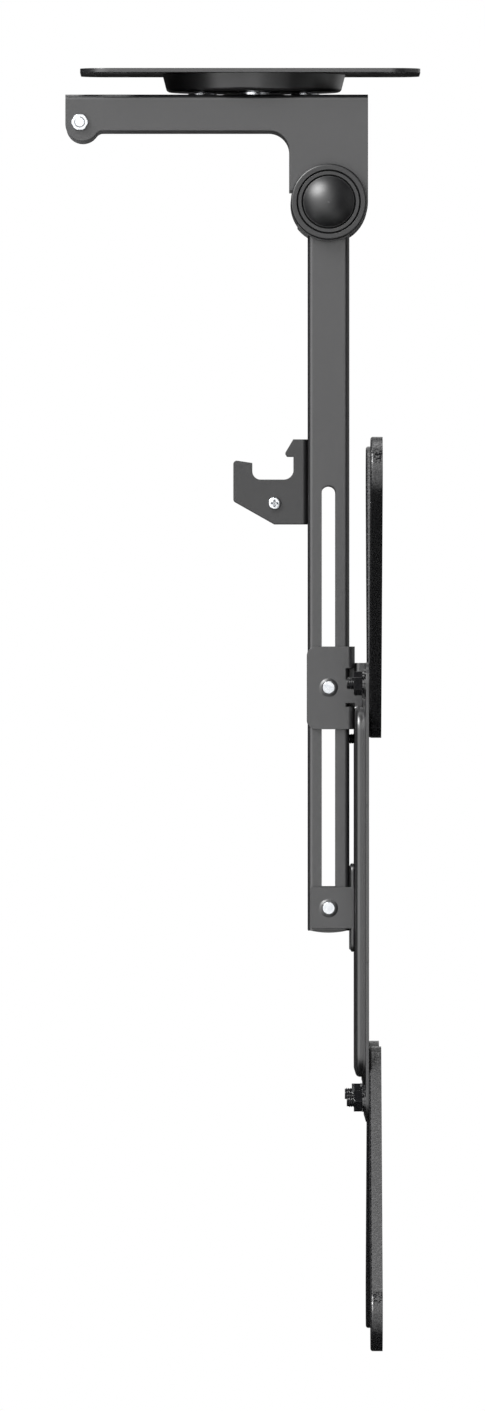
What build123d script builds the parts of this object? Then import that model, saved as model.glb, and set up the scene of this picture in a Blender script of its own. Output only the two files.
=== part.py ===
from build123d import *
import os
from math import cos, radians, sin

# A folding ceiling mount for a flat screen, in millimetres, +Z up.
# The origin is on the swivel axis, at the face of the ceiling plate that lies on the ceiling.
# The arm hangs down from a folded bracket, and the screen side faces +X.

# Ceiling plate
PLATE_LENGTH = 164.0
PLATE_WIDTH = 92.0
PLATE_SHEET = 2.0
PLATE_SHIFT = -1.8
PLATE_CORNER = 14.0
CEILING_SLOT_X = 67.0
CEILING_SLOT_Y = 32.0
CEILING_SLOT_WIDTH = 7.0
CEILING_SLOT_LENGTH = 15.0

# How much of a corner is turned off a nut, and how much of a screw head's height is domed
TURNED_SHARE = 0.7
DOMED_SHARE = 0.6

# Clearances
FACE_GAP = 0.1
RUNNING_GAP = 0.05
BOLT_GAP = 0.25

# Swivel under the plate: a disc clamped by one bolt, under a moulded cover
PIVOT_RADIUS = 4.0
PIVOT_HEAD_RADIUS = 4.8
PIVOT_HEAD_HEIGHT = 1.0
PIVOT_HEAD_EDGE = 0.4
DISC_RADIUS = 34.0
DISC_SHEET = 3.0
PAD_SHEET = 0.8
PAD_RADIUS = 30.0
LOWER_PAD_RADIUS = 11.0
PIVOT_WASHER_RADIUS = 8.0
PIVOT_WASHER_SHEET = 1.6
PIVOT_NUT_FLATS = 13.0
PIVOT_NUT_HEIGHT = 8.0
PIVOT_TIP = 1.5
PIVOT_TIP_EDGE = 0.6

COVER_RADIUS = 44.2
COVER_TAPER = 2.2
COVER_HEIGHT = 8.5
COVER_WALL = 2.0
COVER_EDGE_RADIUS = 2.0
COVER_RING_WALL = 1.6
COVER_OPENING_RADIUS = 13.0

STANDOFF_RING = 24.8
STANDOFF_RADIUS = 2.65
STANDOFF_FLANGE_RADIUS = 6.9
STANDOFF_FLANGE_SHEET = 1.35
SWIVEL_SCREW_RADIUS = 2.0
SWIVEL_SCREW_HEAD_RADIUS = 3.8
SWIVEL_SCREW_HEAD_HEIGHT = 2.6

# Hanger: one sheet folded to an upside-down channel with two long cheeks
HANGER_TOP = 12.4
HANGER_SHEET = 2.0
HANGER_BEND = 2.4
HANGER_HALF_WIDTH = 33.0
HANGER_BACK = 90.9
HANGER_BAR_DEPTH = 17.4
HANGER_WEB_BACK = 81.5
HANGER_LEG_CORNER = 9.8
HANGER_NUT_OPENING = 10.0
LOBE_RADIUS = 8.1
LOBE_DROP = 14.3
LOBE_BLEND = 4.0
LEG_RADIUS = 18.95
LEG_STEP_DROP = 5.6
LEG_STEP_DEPTH = 4.0
TOP_HOLE_RADIUS = 3.4
TOP_HOLE_X = 16.8
TOP_HOLE_BITE = 0.9

# Hinge of the arm, a bolt across the cheeks
HINGE_X = 36.05
HINGE_DROP = 64.25
HINGE_BOLT_RADIUS = 4.0
HINGE_SLEEVE_RADIUS = 7.0
HINGE_DISC_RADIUS = 13.0
HINGE_WASHER_RADIUS = 8.0
HINGE_WASHER_SHEET = 1.6
HINGE_HEAD_FLATS = 13.0
HINGE_HEAD_HEIGHT = 5.3
HINGE_NUT_HEIGHT = 6.5
HINGE_TIP = 1.5
CAP_RADIUS = 18.3
CAP_RIM_HEIGHT = 7.6
CAP_HEIGHT = 12.4
CAP_WALL = 1.6
CAP_EDGE = 0.9
CAP_OUTER_GROOVE = 15.1
CAP_INNER_GROOVE = 12.7
CAP_GROOVE_WIDTH = 0.6
CAP_DOME_RADIUS = 12.1
CAP_ROOM = 0.5

# Catch rod at the back of the hanger, with a nut at each end
CATCH_X = -84.0
CATCH_DROP = 25.8
CATCH_ROD_RADIUS = 2.5
CATCH_SLEEVE_RADIUS = 3.9
CATCH_NUT_FLATS = 7.4
CATCH_NUT_HEIGHT = 3.2
CATCH_TIP = 0.5
CATCH_TIP_EDGE = 0.3

# Arm: a rectangular tube with a long slot in each narrow side
TUBE_DEPTH = 20.0
TUBE_WIDTH = 60.0
TUBE_WALL = 1.5
TUBE_CORNER = 2.2
TUBE_ABOVE_HINGE = 16.0
TUBE_BOTTOM = 415.5
SLOT_WIDTH = 6.7
SLOT_TOP = 200.9
SLOT_BOTTOM = 408.0
END_CAP_BULGE = 1.0
END_CAP_DEPTH = 5.0
END_CAP_INSET = 1.2

# Latch hook on the back of the arm
HOOK_SHEET = 2.0
HOOK_BEND = 2.4
HOOK_HALF_WIDTH = 20.0
HOOK_TOP = 178.5
HOOK_HEIGHT = 40.8
HOOK_REACH = 36.0
HOOK_BARB_REACH = 7.1
HOOK_BARB_TIP_REACH = 11.0
HOOK_BARB_TIP_DROP = 6.6
HOOK_BARB_TIP_WIDTH = 1.0
HOOK_BARB_DROP = 8.1
HOOK_BARB_RADIUS = 0.9
HOOK_TIP_RADIUS = 0.4
HOOK_NOTCH_REACH = 6.9
HOOK_NOTCH_FAR_REACH = 26.8
HOOK_NOTCH_DROP = 19.4
HOOK_NOTCH_NEAR_RADIUS = 4.8
HOOK_NOTCH_FAR_RADIUS = 4.0
HOOK_PRONG_DROP = 11.4
HOOK_PRONG_SLOPE = 1.4
HOOK_PRONG_RADIUS = 1.7
HOOK_SLANT_DROP = 29.6
HOOK_SLANT_REACH = 16.2
HOOK_FOOT_RADIUS = 0.6
HOOK_SCREW_REACH = 16.05
HOOK_SCREW_DROP = 30.9
HOOK_SCREW_RADIUS = 1.5
HOOK_SCREW_HEAD_RADIUS = 3.05
HOOK_SCREW_HEAD_HEIGHT = 1.9
HOOK_SCREW_LENGTH = 8.0
HOOK_SPACER_RADIUS = 3.5
HOOK_RIVET_RADIUS = 2.0
HOOK_RIVET_HEAD_RADIUS = 4.0
HOOK_RIVET_HEAD_HEIGHT = 1.4
HOOK_RIVET_HEAD_EDGE = 0.8
HOOK_RIVET_TAIL_RADIUS = 3.0
HOOK_RIVET_PITCH = 22.0

# Carriage and lower bracket, which slide on the arm and carry the screen side
RAIL_SHEET = 2.0
RAIL_BEND = 3.0
RAIL_SIDE_GAP = 0.4
RAIL_FACE_GAP = 0.6
CARRIAGE_TOP = 278.5
CARRIAGE_HEIGHT = 39.9
CARRIAGE_BACK_OVERHANG = 0.4
CARRIAGE_CORNER = 4.3
EAR_TOP = 294.5
EAR_HEIGHT = 13.1
EAR_RELIEF_ABOVE = 5.5
EAR_RELIEF_BELOW = 1.8
EAR_ROOT = 4.4
EAR_CORNER = 1.0
RELIEF_REACH = 12.4
LINER_WIDTH = 50.0
LINER_INSET = 1.0
LOCK_SCREW_DROP = 323.0
LOCK_SCREW_RADIUS = 2.5
LOCK_NUT_FLATS = 8.0
LOCK_NUT_HEIGHT = 2.7
GUIDE_PIN_RADIUS = 3.1
GUIDE_PIN_PROUD = 0.8
GUIDE_PIN_EDGE = 0.3
PIN_COLLAR_RADIUS = 4.5
PIN_COLLAR_TOP_RADIUS = 3.4
PIN_COLLAR_HEIGHT = 0.4
UPPER_PIN_DROP = 298.3
LOWER_CHEEK_TOP = 394.5
LOWER_CHEEK_HEIGHT = 19.9
LOWER_CHEEK_BACK = 1.0
LOWER_CHEEK_CORNER = 1.0
LOWER_CHEEK_BEND = 0.6
LOWER_WEB_TOP = 383.4
LOWER_WEB_HEIGHT = 42.3
LOWER_WEB_CORNER = 3.5
LOWER_WEB_EDGE = 0.8

# Back pan, screen plate and the bracket that joins the plate to the carriage
PAN_WASHER_GAP = 0.7
PAN_SHEET = 1.2
PAN_DEPTH = 4.93
PAN_CORNER = 10.8
PAN_BEND = 2.2
PAN_LIP = 3.8
SCREEN_PLATE_SIDE = 220.0
SCREEN_PLATE_SHEET = 1.5
SCREEN_PLATE_CORNER = 10.0
SCREEN_HOLE_RADIUS = 2.2
SCREEN_HOLE_SPACINGS = (75.0, 100.0)
SIDE_NOTCH_OFFSET = 37.6
SIDE_NOTCH_HEIGHT = 8.6
SIDE_NOTCH_DEPTH = 4.0
TOP_BRACKET_SHEET = 1.5
TOP_BRACKET_BEND = 2.2

# Four long slotted arms on the corners of the screen plate
ARM_BOLT_SPACING = 200.0
ARM_REACH = 141.4
ARM_TAIL = 12.8
ARM_HALF_WIDTH = 17.0
ARM_DEPTH = 5.8
ARM_SHEET = 1.5
ARM_BEND = 1.2
ARM_SLOT_WIDTH = 7.0
ARM_SLOT_START = 22.0
ARM_BOLT_RADIUS = 3.0
ARM_HEAD_FLATS = 10.0
ARM_HEAD_HEIGHT = 4.0
ARM_WASHER_RADIUS = 6.7
ARM_WASHER_SHEET = 0.72
SPRING_WASHER_RADIUS = 5.25
SPRING_WASHER_SHEET = 1.05
SPRING_WASHER_SPLIT = 1.0
ARM_NUT_HEIGHT = 4.0
ARM_BOLT_TIP = 3.4
UPPER_NUT_TURN = 30.0

# Places worked out from the sizes above
plate_bottom = -PLATE_SHEET
disc_top = plate_bottom - PAD_SHEET - FACE_GAP
disc_bottom = disc_top - DISC_SHEET
lower_pad_bottom = disc_bottom - PAD_SHEET - FACE_GAP
pivot_washer_bottom = lower_pad_bottom - PIVOT_WASHER_SHEET
pivot_nut_bottom = pivot_washer_bottom - PIVOT_NUT_HEIGHT
cover_top = plate_bottom - FACE_GAP
cover_bottom = cover_top - COVER_HEIGHT
hanger_top = -HANGER_TOP
web_bottom = hanger_top - HANGER_SHEET
hinge_z = -HINGE_DROP
hanger_front = HINGE_X + LEG_RADIUS
cheek_inner = HANGER_HALF_WIDTH - HANGER_SHEET
tube_side = TUBE_WIDTH / 2
tube_back = HINGE_X - TUBE_DEPTH / 2
tube_front = HINGE_X + TUBE_DEPTH / 2
rail_side = tube_side + RAIL_SIDE_GAP + RAIL_SHEET
rail_web = tube_front + RAIL_FACE_GAP
rail_front = rail_web + RAIL_SHEET
pan_back = rail_front
plate_back = pan_back + PAN_DEPTH
plate_front = plate_back + SCREEN_PLATE_SHEET
arms_back = plate_front + FACE_GAP
ear_front = plate_back - PAN_SHEET - FACE_GAP
pan_side = ARM_BOLT_SPACING - 2 * (ARM_WASHER_RADIUS + PAN_WASHER_GAP + PAN_LIP)
pan_top = -(EAR_TOP + EAR_HEIGHT)
screen_z = pan_top - pan_side / 2
lower_pin_z = -SLOT_BOTTOM + SLOT_WIDTH / 2


def across(x, z, y=0.0, toward=1):
    """A place on the line across the mount, with its local Z along +Y or, with toward -1, along -Y."""
    return Plane(origin=(x, y, z), x_dir=(1, 0, 0), z_dir=(0, toward, 0))


def facing_screen(x, y, z):
    """A place whose local Z runs along +X, local X along +Y and local Y along +Z."""
    return Plane(origin=(x, y, z), x_dir=(0, 1, 0), z_dir=(1, 0, 0))


def rod(radius, length):
    """A round bar from the local origin along local Z."""
    return extrude(Circle(radius), length)


def ring(radius, hole, length):
    """A washer or sleeve from the local origin along local Z."""
    return extrude(Circle(radius) - Circle(hole), length)


def hexagon(flats, length):
    """A hexagonal bar across the flats, with the corners turned off as on a bolt head or nut."""
    corner = flats / 2 / cos(radians(30))
    bar = extrude(RegularPolygon(radius=flats / 2, side_count=6, major_radius=False), length)
    turned = chamfer(rod(corner, length).edges().group_by(Axis.Z)[-1], (corner - flats / 2) * TURNED_SHARE)
    return bar & turned


def hex_nut(flats, length, hole):
    """A nut from the local origin along local Z."""
    return hexagon(flats, length) - rod(hole, length)


def hex_bolt(flats, head, radius, length):
    """A hexagon bolt: its head ends at the local origin and its shank runs along local Z."""
    flipped = Rot(180, 0, 0) * hexagon(flats, head)
    return flipped + rod(radius, length)


def pan_screw(head_radius, head, radius, length):
    """A screw with a low domed head under the local origin and its shank along local Z."""
    dome = fillet(rod(head_radius, head).edges().group_by(Axis.Z)[-1], head * DOMED_SHARE)
    return Rot(180, 0, 0) * dome + rod(radius, length)


def channel(width, depth, sheet, bend, length):
    """A sheet folded to a channel: web on the local X axis, cheeks along local +Y, extruded along Z."""
    outer = Pos(0, depth) * Rectangle(width, 2 * depth)
    outer = fillet(outer.vertices().group_by(Axis.Y)[0], bend)
    inner = Pos(0, sheet + depth) * Rectangle(width - 2 * sheet, 2 * depth)
    inner = fillet(inner.vertices().group_by(Axis.Y)[0], max(bend - sheet, sheet / 10))
    section = outer - inner - Pos(0, 1.5 * depth) * Rectangle(2 * width, depth)
    return extrude(section, length)


def span(low, high, y_low, y_high):
    """A rectangle given by its two sides on each axis."""
    return Pos((low + high) / 2, (y_low + y_high) / 2) * Rectangle(high - low, y_high - y_low)


def side_prism(face, half_width):
    """A face drawn as seen from the side, X to the right and Z up, extruded across the mount."""
    return extrude(Plane.XZ * face, half_width, both=True)


def make_ceiling_plate():
    """Flat plate with four slots for the ceiling screws and a hole for the pivot bolt."""
    outline = RectangleRounded(PLATE_LENGTH, PLATE_WIDTH, PLATE_CORNER)
    plate = Pos(PLATE_SHIFT, 0) * outline
    slot = SlotOverall(CEILING_SLOT_LENGTH, CEILING_SLOT_WIDTH)
    for side_x in (-1, 1):
        for side_y in (-1, 1):
            plate -= Pos(side_x * CEILING_SLOT_X, side_y * CEILING_SLOT_Y) * slot
    plate -= Circle(PIVOT_RADIUS)
    return extrude(plate, -PLATE_SHEET)


def make_pivot_bolt():
    """Low round head on the plate's upper face, shank down through the disc to the nut."""
    head = chamfer(rod(PIVOT_HEAD_RADIUS, PIVOT_HEAD_HEIGHT).edges().group_by(Axis.Z)[-1], PIVOT_HEAD_EDGE)
    bottom = pivot_nut_bottom - PIVOT_TIP
    shank = chamfer(rod(PIVOT_RADIUS, -bottom).edges().group_by(Axis.Z)[0], PIVOT_TIP_EDGE)
    return head + Pos(0, 0, bottom) * shank


def make_pivot_pad():
    """Thin plastic washer between the ceiling plate and the turning disc."""
    return Pos(0, 0, plate_bottom - PAD_SHEET) * ring(PAD_RADIUS, PIVOT_RADIUS + BOLT_GAP, PAD_SHEET)


def make_pivot_lower_pad():
    """Thin plastic washer under the turning disc."""
    hole = PIVOT_RADIUS + BOLT_GAP
    return Pos(0, 0, lower_pad_bottom) * ring(LOWER_PAD_RADIUS, hole, PAD_SHEET)


def make_pivot_washer():
    """Steel washer under the nut of the pivot bolt."""
    hole = PIVOT_RADIUS + BOLT_GAP
    return Pos(0, 0, pivot_washer_bottom) * ring(PIVOT_WASHER_RADIUS, hole, PIVOT_WASHER_SHEET)


def make_pivot_nut():
    """Lock nut, which sets how stiffly the mount swivels."""
    nut = hex_nut(PIVOT_NUT_FLATS, PIVOT_NUT_HEIGHT, PIVOT_RADIUS)
    return Pos(0, 0, pivot_washer_bottom) * (Rot(180, 0, 0) * nut)


def standoff_places():
    """The four screws round the pivot bolt, front, back and at each side."""
    return [Pos(STANDOFF_RING * cos(radians(a)), STANDOFF_RING * sin(radians(a))) for a in (0, 90, 180, 270)]


def make_swivel_disc():
    """Steel disc that turns under the ceiling plate and carries the hanger on four screws."""
    face = Circle(DISC_RADIUS) - Circle(PIVOT_RADIUS + RUNNING_GAP)
    for place in standoff_places():
        face -= place * Circle(SWIVEL_SCREW_RADIUS)
    return Pos(0, 0, disc_bottom) * extrude(face, DISC_SHEET)


def make_swivel_cover():
    """Moulded round cover: a tapered skirt, a floor and an inner ring that grips the disc's rim."""
    low_radius = COVER_RADIUS - COVER_TAPER
    profile = Polyline((0, cover_top), (COVER_RADIUS, cover_top), (low_radius, cover_bottom), (0, cover_bottom),
                       close=True)
    body = revolve(Plane.XZ * make_face(profile), Axis.Z)
    body = fillet(body.edges().group_by(Axis.Z)[0], COVER_EDGE_RADIUS)
    floor_top = cover_bottom + COVER_WALL
    inner = Polyline((0, cover_top), (COVER_RADIUS - COVER_WALL, cover_top), (low_radius - COVER_WALL, floor_top),
                     (0, floor_top), close=True)
    body -= revolve(Plane.XZ * make_face(inner), Axis.Z)
    ring_height = disc_top - floor_top
    body += Pos(0, 0, floor_top) * ring(DISC_RADIUS + COVER_RING_WALL, DISC_RADIUS, ring_height)
    step_height = disc_bottom - floor_top
    body += Pos(0, 0, floor_top) * ring(DISC_RADIUS, DISC_RADIUS - COVER_RING_WALL, step_height)
    body -= Pos(0, 0, cover_bottom) * rod(COVER_OPENING_RADIUS, COVER_HEIGHT)
    for place in standoff_places():
        body -= place * Pos(0, 0, cover_bottom) * rod(STANDOFF_RADIUS + BOLT_GAP, COVER_WALL)
    return body


def make_swivel_standoffs():
    """Four spacers with a flange, between the disc and the hanger's web."""
    length = disc_bottom - hanger_top
    shape = ring(STANDOFF_RADIUS, SWIVEL_SCREW_RADIUS, length)
    shape += ring(STANDOFF_FLANGE_RADIUS, SWIVEL_SCREW_RADIUS, STANDOFF_FLANGE_SHEET)
    return [place * Pos(0, 0, hanger_top) * shape for place in standoff_places()]


def make_swivel_screws():
    """Four screws from inside the hanger, through the spacers into the disc."""
    length = disc_bottom + DISC_SHEET / 2 - web_bottom
    screw = pan_screw(SWIVEL_SCREW_HEAD_RADIUS, SWIVEL_SCREW_HEAD_HEIGHT, SWIVEL_SCREW_RADIUS, length)
    return [place * Pos(0, 0, web_bottom) * screw for place in standoff_places()]


def hanger_outline():
    """The cheek from the side: a bar with a round lobe at its back and a leg with a round end."""
    bar_bottom = hanger_top - HANGER_BAR_DEPTH
    lobe_x = -HANGER_BACK + LOBE_RADIUS
    lobe_z = hanger_top - LOBE_DROP
    leg_back = HINGE_X - LEG_RADIUS
    face = span(lobe_x, hanger_front, bar_bottom, hanger_top)
    face += span(-HANGER_BACK, lobe_x, lobe_z, hanger_top)
    face += Pos(lobe_x, lobe_z) * Circle(LOBE_RADIUS)
    face += span(leg_back, hanger_front, hinge_z, hanger_top)
    face += Pos(HINGE_X, hinge_z) * Circle(LEG_RADIUS)
    inside_corner = face.vertices().sort_by_distance((leg_back, bar_bottom))[0]
    face = fillet(inside_corner, HANGER_LEG_CORNER)
    lobe_side = (LOBE_RADIUS ** 2 - (bar_bottom - lobe_z) ** 2) ** 0.5
    blend_corner = face.vertices().sort_by_distance((lobe_x + lobe_side, bar_bottom))[0]
    face = fillet(blend_corner, LOBE_BLEND)
    step_z = hinge_z + LEG_STEP_DROP
    return face - span(leg_back - LEG_STEP_DEPTH, leg_back + LEG_STEP_DEPTH, hinge_z - LEG_RADIUS, step_z)


def make_hanger_bracket():
    """Folded sheet: web under the swivel, two cheeks with the hinge at the front and the catch at the back."""
    section_place = Plane(origin=(-HANGER_BACK, 0, hanger_top), x_dir=(0, 1, 0), z_dir=(1, 0, 0))
    length = HANGER_BACK + hanger_front
    depth = HANGER_TOP + HINGE_DROP
    section = channel(2 * HANGER_HALF_WIDTH, depth, HANGER_SHEET, HANGER_BEND, length)
    folded = section_place * (Rot(0, 0, 180) * section)
    body = folded & side_prism(hanger_outline(), HANGER_HALF_WIDTH)
    web_notch = Pos(-HANGER_BACK, 0, hanger_top) * Box(
        2 * (HANGER_BACK - HANGER_WEB_BACK), 2 * cheek_inner, 2 * HANGER_BEND + 2 * HANGER_SHEET)
    body -= web_notch
    drill_depth = 2 * HANGER_SHEET
    body -= Pos(0, 0, hanger_top - drill_depth) * rod(HANGER_NUT_OPENING, 2 * drill_depth)
    for place in standoff_places():
        body -= place * Pos(0, 0, hanger_top - drill_depth) * rod(SWIVEL_SCREW_RADIUS + BOLT_GAP, 2 * drill_depth)
    hole_y = HANGER_HALF_WIDTH - TOP_HOLE_BITE - TOP_HOLE_RADIUS
    for side_x in (-1, 1):
        for side_y in (-1, 1):
            place = Pos(side_x * TOP_HOLE_X, side_y * hole_y, web_bottom - FACE_GAP)
            body -= place * rod(TOP_HOLE_RADIUS, 2 * HANGER_SHEET)
    through = 2 * HANGER_HALF_WIDTH
    body -= across(HINGE_X, hinge_z, -HANGER_HALF_WIDTH) * rod(HINGE_BOLT_RADIUS, through)
    body -= across(CATCH_X, -CATCH_DROP, -HANGER_HALF_WIDTH) * rod(CATCH_ROD_RADIUS, through)
    return body


def make_catch_bolt():
    """Rod across the back of the hanger, threaded for a nut at each end."""
    half = HANGER_HALF_WIDTH + CATCH_NUT_HEIGHT + CATCH_TIP
    bar = rod(CATCH_ROD_RADIUS, 2 * half)
    bar = chamfer(bar.edges().filter_by(GeomType.CIRCLE), CATCH_TIP_EDGE)
    return across(CATCH_X, -CATCH_DROP, -half) * bar


def make_catch_sleeve():
    """Tube round the catch rod between the cheeks, which the hook takes hold of."""
    shape = ring(CATCH_SLEEVE_RADIUS, CATCH_ROD_RADIUS + BOLT_GAP, 2 * cheek_inner)
    return across(CATCH_X, -CATCH_DROP, -cheek_inner) * shape


def make_catch_nuts():
    """The two nuts of the catch rod, one on each cheek."""
    nut = hex_nut(CATCH_NUT_FLATS, CATCH_NUT_HEIGHT, CATCH_ROD_RADIUS)
    return [across(CATCH_X, -CATCH_DROP, side * HANGER_HALF_WIDTH, side) * nut for side in (-1, 1)]


def make_hinge_bolt():
    """Hinge bolt of the arm, head under the near cap and end under the far cap."""
    seat = HANGER_HALF_WIDTH + HINGE_WASHER_SHEET
    length = 2 * seat + HINGE_NUT_HEIGHT + HINGE_TIP
    bolt = hex_bolt(HINGE_HEAD_FLATS, HINGE_HEAD_HEIGHT, HINGE_BOLT_RADIUS, length)
    return across(HINGE_X, hinge_z, -seat) * bolt


def make_hinge_nut():
    """Lock nut of the hinge bolt, under the far cap."""
    seat = HANGER_HALF_WIDTH + HINGE_WASHER_SHEET
    return across(HINGE_X, hinge_z, seat) * hex_nut(HINGE_HEAD_FLATS, HINGE_NUT_HEIGHT, HINGE_BOLT_RADIUS)


def make_hinge_washers():
    """Steel washers on the outer faces of the cheeks."""
    shape = ring(HINGE_WASHER_RADIUS, HINGE_BOLT_RADIUS, HINGE_WASHER_SHEET)
    low = -HANGER_HALF_WIDTH - HINGE_WASHER_SHEET
    return [across(HINGE_X, hinge_z, y) * shape for y in (low, HANGER_HALF_WIDTH)]


def make_hinge_discs():
    """Plastic discs that keep the arm centred between the cheeks."""
    sheet = cheek_inner - tube_side - FACE_GAP
    shape = ring(HINGE_DISC_RADIUS, HINGE_BOLT_RADIUS + BOLT_GAP, sheet)
    return [across(HINGE_X, hinge_z, y) * shape for y in (-cheek_inner, cheek_inner - sheet)]


def make_hinge_cap(side):
    """Moulded cap over a bolt end: a flat rim with two grooves and a domed middle, hollow inside."""
    dome_height = CAP_HEIGHT - CAP_RIM_HEIGHT
    sphere = (CAP_DOME_RADIUS ** 2 + dome_height ** 2) / (2 * dome_height)
    half_way = CAP_DOME_RADIUS / 2
    middle = (half_way, CAP_HEIGHT - sphere + (sphere ** 2 - half_way ** 2) ** 0.5)
    rim = Polyline((0, CAP_HEIGHT), (0, 0), (CAP_RADIUS, 0), (CAP_RADIUS, CAP_RIM_HEIGHT),
                   (CAP_DOME_RADIUS, CAP_RIM_HEIGHT))
    crown = ThreePointArc((CAP_DOME_RADIUS, CAP_RIM_HEIGHT), middle, (0, CAP_HEIGHT))
    face = make_face(rim + crown)
    for groove_radius in (CAP_OUTER_GROOVE, CAP_INNER_GROOVE):
        face -= Pos(groove_radius, CAP_RIM_HEIGHT) * Rot(0, 0, 45) * Rectangle(CAP_GROOVE_WIDTH, CAP_GROOVE_WIDTH)
    nut_room = HINGE_WASHER_SHEET + HINGE_NUT_HEIGHT + CAP_ROOM
    tip_room = nut_room + HINGE_TIP
    face -= span(0, CAP_RADIUS - CAP_WALL, 0, CAP_RIM_HEIGHT - CAP_WALL)
    face -= span(0, HINGE_WASHER_RADIUS + CAP_ROOM, 0, nut_room)
    face -= span(0, HINGE_BOLT_RADIUS + CAP_ROOM, 0, tip_room)
    cap = revolve(Plane.XZ * face, Axis.Z)
    rim_edge = cap.edges().filter_by(GeomType.CIRCLE).filter_by(
        lambda e: abs(e.center().Z - CAP_RIM_HEIGHT) < FACE_GAP and abs(e.radius - CAP_RADIUS) < FACE_GAP)
    cap = fillet(rim_edge, CAP_EDGE)
    return across(HINGE_X, hinge_z, side * HANGER_HALF_WIDTH, side) * cap


def make_arm_tube():
    """Rectangular tube with rounded corners, a slot in each narrow side and bores for the hinge sleeve."""
    top = hinge_z + TUBE_ABOVE_HINGE
    section = RectangleRounded(TUBE_DEPTH, TUBE_WIDTH, TUBE_CORNER)
    section -= RectangleRounded(TUBE_DEPTH - 2 * TUBE_WALL, TUBE_WIDTH - 2 * TUBE_WALL, TUBE_CORNER - TUBE_WALL)
    tube = Pos(HINGE_X, 0, -TUBE_BOTTOM) * extrude(section, top + TUBE_BOTTOM)
    slot_middle = -(SLOT_TOP + SLOT_BOTTOM) / 2
    slot = Pos(HINGE_X, slot_middle) * (Rot(0, 0, 90) * SlotOverall(SLOT_BOTTOM - SLOT_TOP, SLOT_WIDTH))
    tube -= side_prism(slot, tube_side)
    tube -= across(HINGE_X, hinge_z, -tube_side) * rod(HINGE_SLEEVE_RADIUS, TUBE_WIDTH)
    for hook_rivet in hook_rivet_places(tube_back - HOOK_SHEET):
        tube -= hook_rivet * rod(HOOK_RIVET_RADIUS, HOOK_SHEET + TUBE_WALL)
    return tube


def make_hinge_sleeve():
    """Sleeve welded across the top of the arm, which turns on the hinge bolt."""
    shape = ring(HINGE_SLEEVE_RADIUS, HINGE_BOLT_RADIUS + RUNNING_GAP, TUBE_WIDTH)
    return across(HINGE_X, hinge_z, -tube_side) * shape


def make_tube_end_cap():
    """Moulded plug in the arm's lower end, whose underside bulges a little."""
    half = TUBE_DEPTH / 2 - END_CAP_INSET
    left = (HINGE_X - half, -TUBE_BOTTOM)
    right = (HINGE_X + half, -TUBE_BOTTOM)
    bulge = ThreePointArc(left, (HINGE_X, -TUBE_BOTTOM - END_CAP_BULGE), right)
    plate = side_prism(make_face(bulge + Line(right, left)), TUBE_WIDTH / 2 - END_CAP_INSET)
    inner = RectangleRounded(TUBE_DEPTH - 2 * TUBE_WALL, TUBE_WIDTH - 2 * TUBE_WALL, TUBE_CORNER - TUBE_WALL)
    hollow = Rectangle(TUBE_DEPTH - 4 * TUBE_WALL, TUBE_WIDTH - 4 * TUBE_WALL)
    plug = extrude(inner - hollow, END_CAP_DEPTH)
    return plate + Pos(HINGE_X, 0, -TUBE_BOTTOM) * plug


def hook_outline():
    """The hook from the side: a barb beside the arm, a square notch and a prong with a sloping top."""
    right = tube_back
    top = -HOOK_TOP
    bottom = top - HOOK_HEIGHT
    left = right - HOOK_REACH
    points = [
        (right, top),
        (right - HOOK_BARB_REACH, top),
        (right - HOOK_BARB_TIP_REACH, top - HOOK_BARB_TIP_DROP),
        (right - HOOK_BARB_TIP_REACH + HOOK_BARB_TIP_WIDTH, top - HOOK_BARB_DROP),
        (right - HOOK_NOTCH_REACH, top - HOOK_BARB_DROP),
        (right - HOOK_NOTCH_REACH, top - HOOK_NOTCH_DROP),
        (right - HOOK_NOTCH_FAR_REACH, top - HOOK_NOTCH_DROP),
        (right - HOOK_NOTCH_FAR_REACH, top - HOOK_PRONG_DROP),
        (left, top - HOOK_PRONG_DROP + HOOK_PRONG_SLOPE),
        (left, top - HOOK_SLANT_DROP),
        (right - HOOK_SLANT_REACH, bottom),
        (right, bottom),
    ]
    radii = [0, 0, HOOK_BARB_RADIUS, HOOK_TIP_RADIUS, 0, HOOK_NOTCH_NEAR_RADIUS, HOOK_NOTCH_FAR_RADIUS,
             HOOK_TIP_RADIUS, HOOK_PRONG_RADIUS, HOOK_PRONG_RADIUS, HOOK_FOOT_RADIUS, 0]
    return make_face(FilletPolyline(*points, radius=radii, close=True))


def hook_rivet_places(x):
    """The two rivets that hold the hook's web on the arm, one above the other."""
    middle = -HOOK_TOP - HOOK_HEIGHT / 2
    return [facing_screen(x, 0, middle + side * HOOK_RIVET_PITCH / 2) for side in (-1, 1)]


def make_latch_hook():
    """Folded channel whose web lies on the arm and whose two cheeks are cut to the hook."""
    bottom = -HOOK_TOP - HOOK_HEIGHT
    section_place = Plane(origin=(tube_back, 0, bottom), x_dir=(0, 1, 0), z_dir=(0, 0, 1))
    body = section_place * channel(2 * HOOK_HALF_WIDTH, HOOK_REACH + HOOK_SHEET, HOOK_SHEET, HOOK_BEND, HOOK_HEIGHT)
    body = body & side_prism(hook_outline(), HOOK_HALF_WIDTH)
    screw_z = -HOOK_TOP - HOOK_SCREW_DROP
    body -= across(tube_back - HOOK_SCREW_REACH, screw_z, -HOOK_HALF_WIDTH) * rod(
        HOOK_SCREW_RADIUS, 2 * HOOK_HALF_WIDTH)
    for place in hook_rivet_places(tube_back - 2 * HOOK_SHEET):
        body -= place * rod(HOOK_RIVET_RADIUS, 2 * HOOK_SHEET)
    return body


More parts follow.
